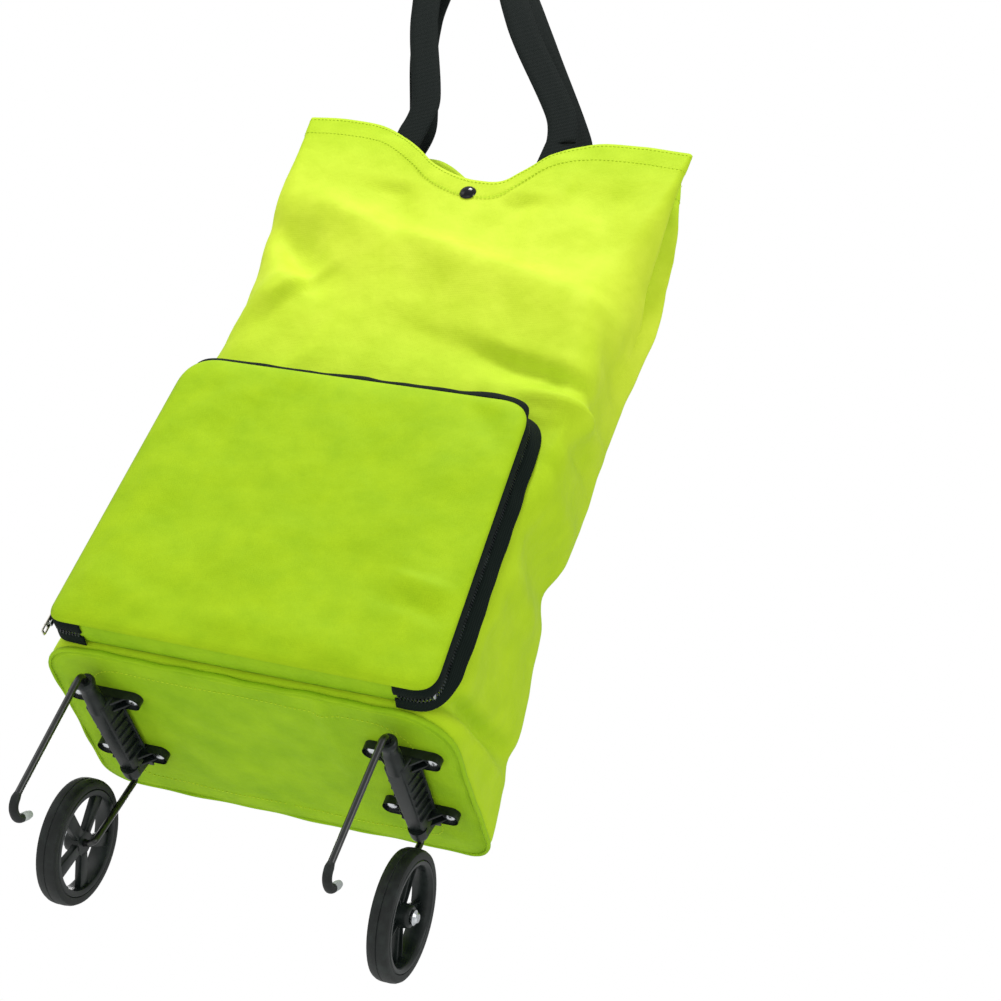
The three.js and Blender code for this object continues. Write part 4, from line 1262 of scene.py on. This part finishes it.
OUT_X = (1, 0, 0)
tyre_right = spun("rubber_tyre_right", tyre_shape, HUB, OUT_X, 72)
rim = spun("rim", RIM, HUB, OUT_X, 72)
boss = spun("boss", BOSS, HUB, OUT_X, 36)
wheel_right = combined("moulded_wheel_right", [rim, boss] + [spoke(i) for i in range(SPOKES)])
nut_x = low("push_nut_right").x - WHEEL_X
NUT = [(0, 4.4), (1.8, 4.35), (3.0, 3.9), (3.5, 3.0), (3.9, 2.3), (5.1, 1.7), (5.5, 1.2), (5.5, 0.1)]
NUT += [(2.95, 0.1), (2.95, 3.3), (0, 3.3)]
nut_right = spun("dome_nut_right", [(r, h + nut_x) for r, h in NUT], HUB, OUT_X, 32)
mirror = Matrix.Diagonal((-1, 1, 1, 1))
tyre_left = copied(tyre_right, "rubber_tyre_left", mirror)
wheel_left = copied(wheel_right, "moulded_wheel_left", mirror)
nut_left = copied(nut_right, "dome_nut_left", mirror)
for side, tyre, wheel, nut in (
    ("right", tyre_right, wheel_right, nut_right), ("left", tyre_left, wheel_left, nut_left)
):
    dress(tyre, RUBBER, f"{side}_wheel")
    dress(wheel, ABS_WHEEL, f"{side}_wheel")
    dress(nut, ZINC, f"{side}_wire")
    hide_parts(f"tyre_{side}")
    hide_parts(f"wheel_{side}")
    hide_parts(f"push_nut_{side}")
print("wheel:", len(wheel_right.data.polygons), "faces")

# %% [markdown]
# Each wire is one 5 mm rod bent cold: a hooked foot, a tall leg, a turn under the bag and a short
# drop to the axle. A section is swept along its centre line, and the foot wears a vinyl sleeve.

# %% The bent wires
WIRE_X = (low("bracket_right").x + high("bracket_right").x) / 2
WIRE_R = 2.5
PIVOT_Z = 112.0
LEG_Y = low("wire_leg_right").y + WIRE_R
HEEL_Y = high("wire_leg_right").y - WIRE_R


def bend(start, corner, end, count=10):
    """Points of a smooth bend between two straight runs."""
    a, b, c = (np.array(p, float) for p in (start, corner, end))
    t = np.linspace(0, 1, count)[:, None]
    return (1 - t) ** 2 * a + 2 * t * (1 - t) * b + t * t * c


def wire_path():
    """Centre line of the right-hand wire, from the tip of the foot to the end of the axle."""
    x, foot, tip = WIRE_X, LEG_Y + 11, LEG_Y + 20
    drop = np.array([0, AXLE_Y - HEEL_Y, AXLE_Z - PIVOT_Z])
    drop = drop / np.linalg.norm(drop) * 6
    heel = np.array([x, HEEL_Y, PIVOT_Z])
    axle = np.array([x, AXLE_Y, AXLE_Z])
    parts = [
        bend((x, tip, WIRE_R + 5), (x, (foot + tip) / 2, WIRE_R), (x, foot, WIRE_R), 8),
        bend((x, foot, WIRE_R), (x, LEG_Y, WIRE_R), (x, LEG_Y, WIRE_R + 11), 14),
        np.array([(x, LEG_Y, 30), (x, LEG_Y, 60), (x, LEG_Y, 90)], float),
        bend((x, LEG_Y, PIVOT_Z - 6), (x, LEG_Y, PIVOT_Z), (x, LEG_Y + 6, PIVOT_Z)),
        np.array([(x, LEG_Y + 30, PIVOT_Z), (x, HEEL_Y - 30, PIVOT_Z)], float),
        bend(heel - (0, 6, 0), heel, heel + drop),
        bend(axle - drop, axle, axle + (6, 0, 0)),
        np.array([(high("push_nut_right").x - 1.6, AXLE_Y, AXLE_Z)]),
    ]
    return np.concatenate(parts)


def tube(name, line, radii, sides=20):
    """A round rod swept along a line, with a radius for each point and closed ends."""
    ahead = np.gradient(line, axis=0)
    ahead /= np.linalg.norm(ahead, axis=1)[:, None]
    across = np.cross(ahead[0], (1, 0, 0) if abs(ahead[0][0]) < 0.7 else (0, 1, 0))
    rings = []
    for point, direction, radius in zip(line, ahead, radii):
        across = across - direction * np.dot(across, direction)
        across /= np.linalg.norm(across)
        other = np.cross(direction, across)
        for i in range(sides):
            angle = 2 * math.pi * i / sides
            rings.append(point + radius * (math.cos(angle) * across + math.sin(angle) * other))
    faces = grid_faces(len(line), sides, True)
    faces.append(tuple(range(sides)))
    faces.append(tuple((len(line) - 1) * sides + i for i in reversed(range(sides))))
    mesh = bpy.data.meshes.new(name)
    mesh.from_pydata((np.array(rings) * MM).tolist(), [], faces)
    piece = bpy.data.objects.new(name, mesh)
    scene.collection.objects.link(piece)
    mend_normals(piece)
    smooth_by_angle(piece, 50)
    return piece


rod = wire_path()
wire_right = tube("bent_wire_right", rod, np.full(len(rod), WIRE_R))
sleeve_line = rod[:24]
sleeve_line = sleeve_line[sleeve_line[:, 2] < 15]
swell = WIRE_R + 0.75 * np.clip(np.sin(np.linspace(0.05, 0.98, len(sleeve_line)) * math.pi) * 3, 0, 1)
sleeve_right = tube("foot_sleeve_right", sleeve_line, swell)
tip_line = np.array([rod[0] + (rod[0] - rod[1]) * s for s in (4.6, 4.2, 2.4, -1.2, -1.6)])
tip_right = tube("foot_tip_right", tip_line, [1.2, 2.6, 3.2, 3.2, 2.4])
right_trio = (wire_right, sleeve_right, tip_right)
left_trio = [copied(p, p.name.replace("right", "left"), mirror) for p in right_trio]
for side, trio in (("right", right_trio), ("left", left_trio)):
    dress(trio[0], ENAMEL, f"{side}_wire")
    dress(trio[1], RUBBER, f"{side}_wire")
    dress(trio[2], TIP_GREY, f"{side}_wire")
    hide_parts(f"wire_leg_{side}")
print("wires:", len(rod), "sections each")

# %% [markdown]
# A bracket is one ABS moulding: two cross bars with rounded ears, a ribbed housing over the wire,
# and a collar where the wire comes out in front. Moulded corners are never sharp.

# %% Brackets, rivets and board
BRACKET_TOP = high("bracket_right").z
EARS_Y = sorted({round((low(f"rivet_{i}").y + high(f"rivet_{i}").y) / 2, 1) for i in range(1, 9)})
REAR_Y = high("bracket_right").y
FRONT_END = low("bracket_right").y


EAR_RING = [(2.4, 0), (5.8, 0), (5.4, -0.9), (4.9, -0.9), (4.6, -0.4), (2.4, -0.4), (2.4, 0)]


def ear_bar(y):
    """A cross bar with rounded ends and webs up to the housing."""
    corner = (WIRE_X - 28.5, y - 6.5, BRACKET_TOP - 3)
    bar = block("ear_bar", corner, (WIRE_X + 28.5, y + 6.5, BRACKET_TOP), 0)
    select_only(bar)
    for edge in bar.data.edges:
        a, b = (bar.data.vertices[i].co for i in edge.vertices)
        edge.select = abs(a.z - b.z) > 0.001
    for vertex in bar.data.vertices:
        vertex.select = False
    bpy.ops.object.mode_set(mode="EDIT")
    bpy.ops.mesh.select_mode(type="EDGE")
    bpy.ops.mesh.bevel(offset=6.3 * MM, segments=8, affect="EDGES")
    bpy.ops.mesh.select_mode(type="VERT")
    bpy.ops.object.mode_set(mode="OBJECT")
    parts = [bar]
    for side in (-1, 1):
        for shift in (-4.2, 4.2):
            web = block(
                "web", (WIRE_X + side * 9, y + shift - 0.9, BRACKET_TOP - 12),
                (WIRE_X + side * 20, y + shift + 0.9, BRACKET_TOP - 2.5), 0,
            )
            far = WIRE_X + side * 20
            move_corners(
                web, lambda p: abs(p.x - far) < 0.1 and p.z < BRACKET_TOP - 5,
                lambda p: (p.x, p.y, BRACKET_TOP - 3.2),
            )
            round_edges(web, 0.3, 1)
            parts.append(web)
        centre = (WIRE_X + side * 22, y, BRACKET_TOP - 3)
        parts.append(spun("ear_ring", EAR_RING, centre, (0, 0, 1), 28))
    return parts


def housing():
    """The ribbed housing round the wire, narrower below and towards the rear."""
    corner = (WIRE_X - 11, EARS_Y[0] - 6, 106.6)
    body = block("housing", corner, (WIRE_X + 11, REAR_Y - 1, BRACKET_TOP), 0)

    def taper(p):
        """The rear end is narrower, and its lower corners are higher."""
        return WIRE_X + (p.x - WIRE_X) * 0.86, p.y, p.z + (2 if p.z < 110 else 0)

    move_corners(body, lambda p: p.z < 110, lambda p: (WIRE_X + (p.x - WIRE_X) * 0.62, p.y, p.z))
    move_corners(body, lambda p: p.y > 30, taper)
    round_edges(body, 1.8, 3)
    parts = [body]
    for y in np.arange(EARS_Y[0] + 12, EARS_Y[1] - 8, 9.5):
        rib = block("rib", (WIRE_X - 11.9, y, 108.5), (WIRE_X + 11.9, y + 1.8, BRACKET_TOP - 2), 0)
        move_corners(rib, lambda p: p.z < 112, lambda p: (WIRE_X + (p.x - WIRE_X) * 0.66, p.y, p.z))
        round_edges(rib, 0.5, 2)
        parts.append(rib)
    lip = block("lip", (WIRE_X - 12.4, EARS_Y[0] - 6, 121.6), (WIRE_X + 12.4, REAR_Y - 1, 123.4), 0.7)
    parts.append(lip)
    return parts


COLLAR = [(2.9, 0), (5.6, 0), (6.6, 0.9), (6.9, 2.4), (6.6, 5.0), (5.8, 6.4), (5.8, 12), (6.4, 14)]
COLLAR += [(6.6, 24), (7.2, 31), (7.2, 34), (2.9, 34), (2.9, 0)]
NOSE = [(2.9, 0), (4.9, 0), (6.2, -1.4), (6.8, -4), (7.2, -12), (2.9, -12), (2.9, 0)]
collar = spun("collar", COLLAR, (WIRE_X, FRONT_END, PIVOT_Z), (0, 1, 0), 32)
nose = spun("nose", NOSE, (WIRE_X, REAR_Y, PIVOT_Z), (0, 1, 0), 32)
bracket_parts = [collar, nose] + housing() + ear_bar(EARS_Y[0]) + ear_bar(EARS_Y[1])
bracket_right = combined("moulded_bracket_right", bracket_parts)
bracket_left = copied(bracket_right, "moulded_bracket_left", mirror)
for side, bracket in (("right", bracket_right), ("left", bracket_left)):
    dress(bracket, ABS_BLACK, "bag")
    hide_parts(f"bracket_{side}")

# A rivet is a low dome under the bracket, with its shank clenched over above the board.
RIVET = [(0, 0), (1.6, 0.08), (2.9, 0.42), (3.9, 1.05), (4.4, 1.75), (4.3, 2.0), (2.0, 2.0)]
RIVET += [(2.0, 8.4), (3.4, 8.5), (3.3, 9.2), (2.2, 9.3), (1.4, 8.8), (0, 8.7)]
for i in range(1, 9):
    spot = (low(f"rivet_{i}") + high(f"rivet_{i}")) / 2
    centre = (spot.x, spot.y, low(f"rivet_{i}").z)
    if i == 1:
        first_rivet, first_centre = spun("dome_rivet_1", RIVET, centre, (0, 0, 1), 28), centre
        rivet = first_rivet
    else:
        shift = Matrix.Translation(Vector(centre) - Vector(first_centre))
        rivet = copied(first_rivet, f"dome_rivet_{i}", shift)
    dress(rivet, ZINC, "bag")
    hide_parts(f"rivet_{i}")
print("bracket:", len(bracket_right.data.polygons), "faces")

# %% [markdown]
# The snap at the mouth is a moulded dome outside the cloth with a stud or a socket inside it. The
# sliders and their pull tabs are die-cast, so each is a few blocks with rounded edges in one piece.

# %% Snap, zip sliders and small fittings
CAP = [(0, 3.4), (2.4, 3.25), (4.6, 2.6), (6.2, 1.5), (7.0, 0.2), (6.9, -0.1)]
CAP += [(2.0, -0.1), (2.0, -3.4), (0, -3.4)]
SOCKET = [(0, 1.2), (2.2, 1.2), (2.4, 2.8), (3.4, 3.0), (4.2, 2.6), (4.6, 1.4)]
SOCKET += [(6.0, 1.0), (6.0, 0), (0, 0)]


def snap(name, node_name, profile, towards, edge):
    """A turned snap piece that faces along Y, its profile starting at edge, in line with its node."""
    spot = (low(node_name) + high(node_name)) / 2
    centre = (spot.x, edge, spot.z)
    piece = spun(name, profile, centre, (0, towards, 0), 40)
    dress(piece, SNAP_PLASTIC, "bag")
    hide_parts(node_name)


snap("front_snap_dome", "snap_front_cap", CAP, -1, low("snap_front_cap").y + 3.4)
snap("front_snap_socket", "snap_socket", SOCKET, 1, low("snap_socket").y)
snap("back_snap_dome", "snap_back_cap", CAP, 1, high("snap_back_cap").y - 5.0)
snap("back_snap_stud", "snap_stud", SOCKET, -1, high("snap_stud").y - 1.4)


def slider_body(name, node_name, body, long_axis):
    """A die-cast slider: a plate with a bail over it, its two posts set along the zip."""
    lowest, highest = low(node_name), high(node_name)
    outward = 0 if long_axis == 2 else 1
    plate_low = lowest.copy()
    plate_low[outward] = highest[outward] - 1.5
    parts = [block("plate", plate_low, highest, 0.55, 3)]
    middle = (lowest + highest) / 2
    half = Vector((1.4, 1.4, 1.4))
    half[long_axis] = 3.6
    for step in (-1, 1):
        post_low, post_high = middle - half, middle + half
        post_low[outward], post_high[outward] = lowest[outward], plate_low[outward] + 0.3
        post_low[long_axis] = middle[long_axis] + step * 3.0 - 0.7
        post_high[long_axis] = middle[long_axis] + step * 3.0 + 0.7
        parts.append(block("post", post_low, post_high, 0.25, 2))
    roof_low, roof_high = middle - half, middle + half
    roof_low[outward], roof_high[outward] = lowest[outward], lowest[outward] + 1.1
    parts.append(block("roof", roof_low, roof_high, 0.35, 2))
    piece = combined(name, parts)
    dress(piece, NICKEL, body)
    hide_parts(node_name)


def pull_tab(name, node_name, body):
    """A flat tab with a slot at its ring end and a hole at the other."""
    lowest, highest = low(node_name), high(node_name)
    size = highest - lowest
    thin = min(range(3), key=lambda i: size[i])
    tall = max(range(3), key=lambda i: size[i])
    wide = 3 - thin - tall
    across = [lowest[wide], highest[wide]]
    ends = [lowest[tall], highest[tall]]
    near, far = reversed(ends)
    toward = 1 if far > near else -1
    parts = []

    def slab(t0, t1, w0, w1):
        """A piece of the tab, from t0 to t1 along it and from w0 to w1 across."""
        a, b = Vector((0, 0, 0)), Vector((0, 0, 0))
        a[thin], b[thin] = lowest[thin], highest[thin]
        a[tall], b[tall] = sorted((near + toward * t0, near + toward * t1))
        a[wide], b[wide] = sorted((w0, w1))
        parts.append(block("tab", a, b, 0.22, 2))

    w0, w1 = across
    slab(0, 1.3, w0, w1)
    slab(0.9, 7.2, w0, w0 + 1.4)
    slab(0.9, 7.2, w1 - 1.4, w1)
    slab(6.6, 20.5, w0, w1)
    slab(20.2, size[tall] - 1.2, w0, w0 + 1.5)
    slab(20.2, size[tall] - 1.2, w1 - 1.5, w1)
    slab(size[tall] - 1.5, size[tall], w0 + 0.6, w1 - 0.6)
    piece = combined(name, parts)
    dress(piece, NICKEL, body)
    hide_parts(node_name)


slider_body("pouch_slider", "zip_slider", "slider", 2)
pull_tab("pouch_pull", "zip_pull", "slider_pull")
slider_body("pocket_slider_body", "pocket_zip_slider", "pocket_slider", 0)
pull_tab("pocket_pull_tab", "pocket_zip_pull", "pocket_pull")

for stop in ("zip_end_stop", "zip_start_stop"):
    piece = block(f"{stop}_clamp", low(stop), high(stop), 0.3, 2)
    dress(piece, ZINC, "bag")
    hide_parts(stop)

print("zip stops and sliders done")

# %% [markdown]
# The slit in the pouch has a finer zip, with its teeth meshed in one row, and a loop of folded
# cloth tape for the wrist hangs along its upper edge.

# %% The pocket zip and the wrist strap
tape_low, tape_high = low("pocket_zip_tape"), high("pocket_zip_tape")
TAPE_CELLS, TAPE_LINES = 90, 11
pocket_x = np.linspace(tape_low.x, tape_high.x, TAPE_CELLS)[None, :] + np.zeros((TAPE_LINES, 1))
pocket_z = np.linspace(tape_low.z, tape_high.z, TAPE_LINES)[:, None] + 0 * pocket_x
pocket_y = tape_low.y + 0.45 + 0.25 * crumple(pocket_x, pocket_z, 14, 1, 5.5)
pocket = np.stack([pocket_x, pocket_y, pocket_z], axis=-1)
pocket_tape = piece_from(
    "pocket_tape", pocket, grid_faces(TAPE_LINES, TAPE_CELLS), TAPE, "pouch"
)
thicken(pocket_tape, 0.6, 0.0)
mend_normals(pocket_tape)
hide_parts("pocket_zip_tape")
teeth_low, teeth_high = low("pocket_zip_teeth"), high("pocket_zip_teeth")
vertices, faces = [], []
for number, x in enumerate(np.arange(teeth_low.x + 1, teeth_high.x - 1, 1.3)):
    shift = 0.5 if number % 2 else -0.5
    start = len(vertices)
    for dy in (teeth_low.y + 0.05, teeth_high.y - 0.15):
        inset = 0.12 if dy > teeth_low.y + 0.5 else 0
        z = (teeth_low.z + teeth_high.z) / 2 + shift
        vertices += [(x - 0.5 + inset, dy, z - 0.95), (x + 0.5 - inset, dy, z - 0.95)]
        vertices += [(x + 0.5 - inset, dy, z + 0.95), (x - 0.5 + inset, dy, z + 0.95)]
    quads = [(0, 1, 2, 3), (7, 6, 5, 4), (0, 4, 5, 1), (1, 5, 6, 2), (2, 6, 7, 3), (3, 7, 4, 0)]
    faces += [tuple(start + i for i in quad) for quad in quads]
pocket_teeth = piece_from("pocket_teeth", vertices, faces, TEETH, "pouch")
pocket_teeth.data.polygons.foreach_set("use_smooth", [False] * len(faces))
mend_normals(pocket_teeth)
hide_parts("pocket_zip_teeth")

strap_low, strap_high = low("wrist_strap"), high("wrist_strap")
strap_y, strap_z = (strap_low.y + strap_high.y) / 2, (strap_low.z + strap_high.z) / 2
reach = np.linspace(strap_low.x + 1, strap_high.x - 1.2, 60)
outer_run = np.stack([reach, np.full(60, strap_low.y + 0.45), np.full(60, strap_z)], axis=1)
inner_run = outer_run[::-1].copy()
inner_run[:, 1] = strap_high.y - 0.45
turn_over = []
for angle in np.linspace(-80, 80, 7):
    a = math.radians(angle)
    half_gap = (inner_run[0, 1] - outer_run[0, 1]) / 2
    bulge, rise = half_gap * math.cos(a), half_gap * math.sin(a)
    turn_over.append((strap_high.x - 1.2 + bulge, strap_y + rise, strap_z))
strap_line = np.concatenate([outer_run, np.array(turn_over), inner_run])
strap_line[:, 2] += 0.8 * np.sin(strap_line[:, 0] / 24)
up_wide = np.tile([0, 0, 1.0], (len(strap_line), 1))
webbing(
    "wrist_loop", strap_line, up_wide, 13.5, 0.8, BASE_LIME, "pouch", ["wrist_strap"]
)

print("pocket zip:", len(pocket_teeth.data.polygons) // 6, "teeth")

# %% [markdown]
# The board is the frame's own, with its corners cut round so that they stay inside the cloth.

# %% The stiffening board
BOARD_CORNER = 48
board_low, board_high = low("base_board"), high("base_board")
board = copied(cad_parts["base_board"], "stiffening_board", Matrix.Identity(4))
select_only(board)
bpy.ops.object.mode_set(mode="EDIT")
bpy.ops.mesh.select_all(action="SELECT")
bpy.ops.mesh.remove_doubles(threshold=0.00001)
bpy.ops.object.mode_set(mode="OBJECT")
for vertex in board.data.vertices:
    x, y = vertex.co.x / MM, vertex.co.y / MM
    side_x = abs(x) - (board_high.x - BOARD_CORNER)
    side_y = max(board_low.y + BOARD_CORNER - y, y - (board_high.y - BOARD_CORNER))
    reach = math.hypot(side_x, side_y)
    if side_x > 0 and side_y > 0 and reach > BOARD_CORNER:
        pull = 1 - BOARD_CORNER / reach
        vertex.co.x -= math.copysign(side_x * pull, x) * MM
        vertex.co.y -= math.copysign(side_y * pull, y - (board_low.y + board_high.y) / 2) * MM
dress(board, BOARD, "bag")
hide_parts("base_board")
print("board:", round(board_high.x - board_low.x), "mm wide")
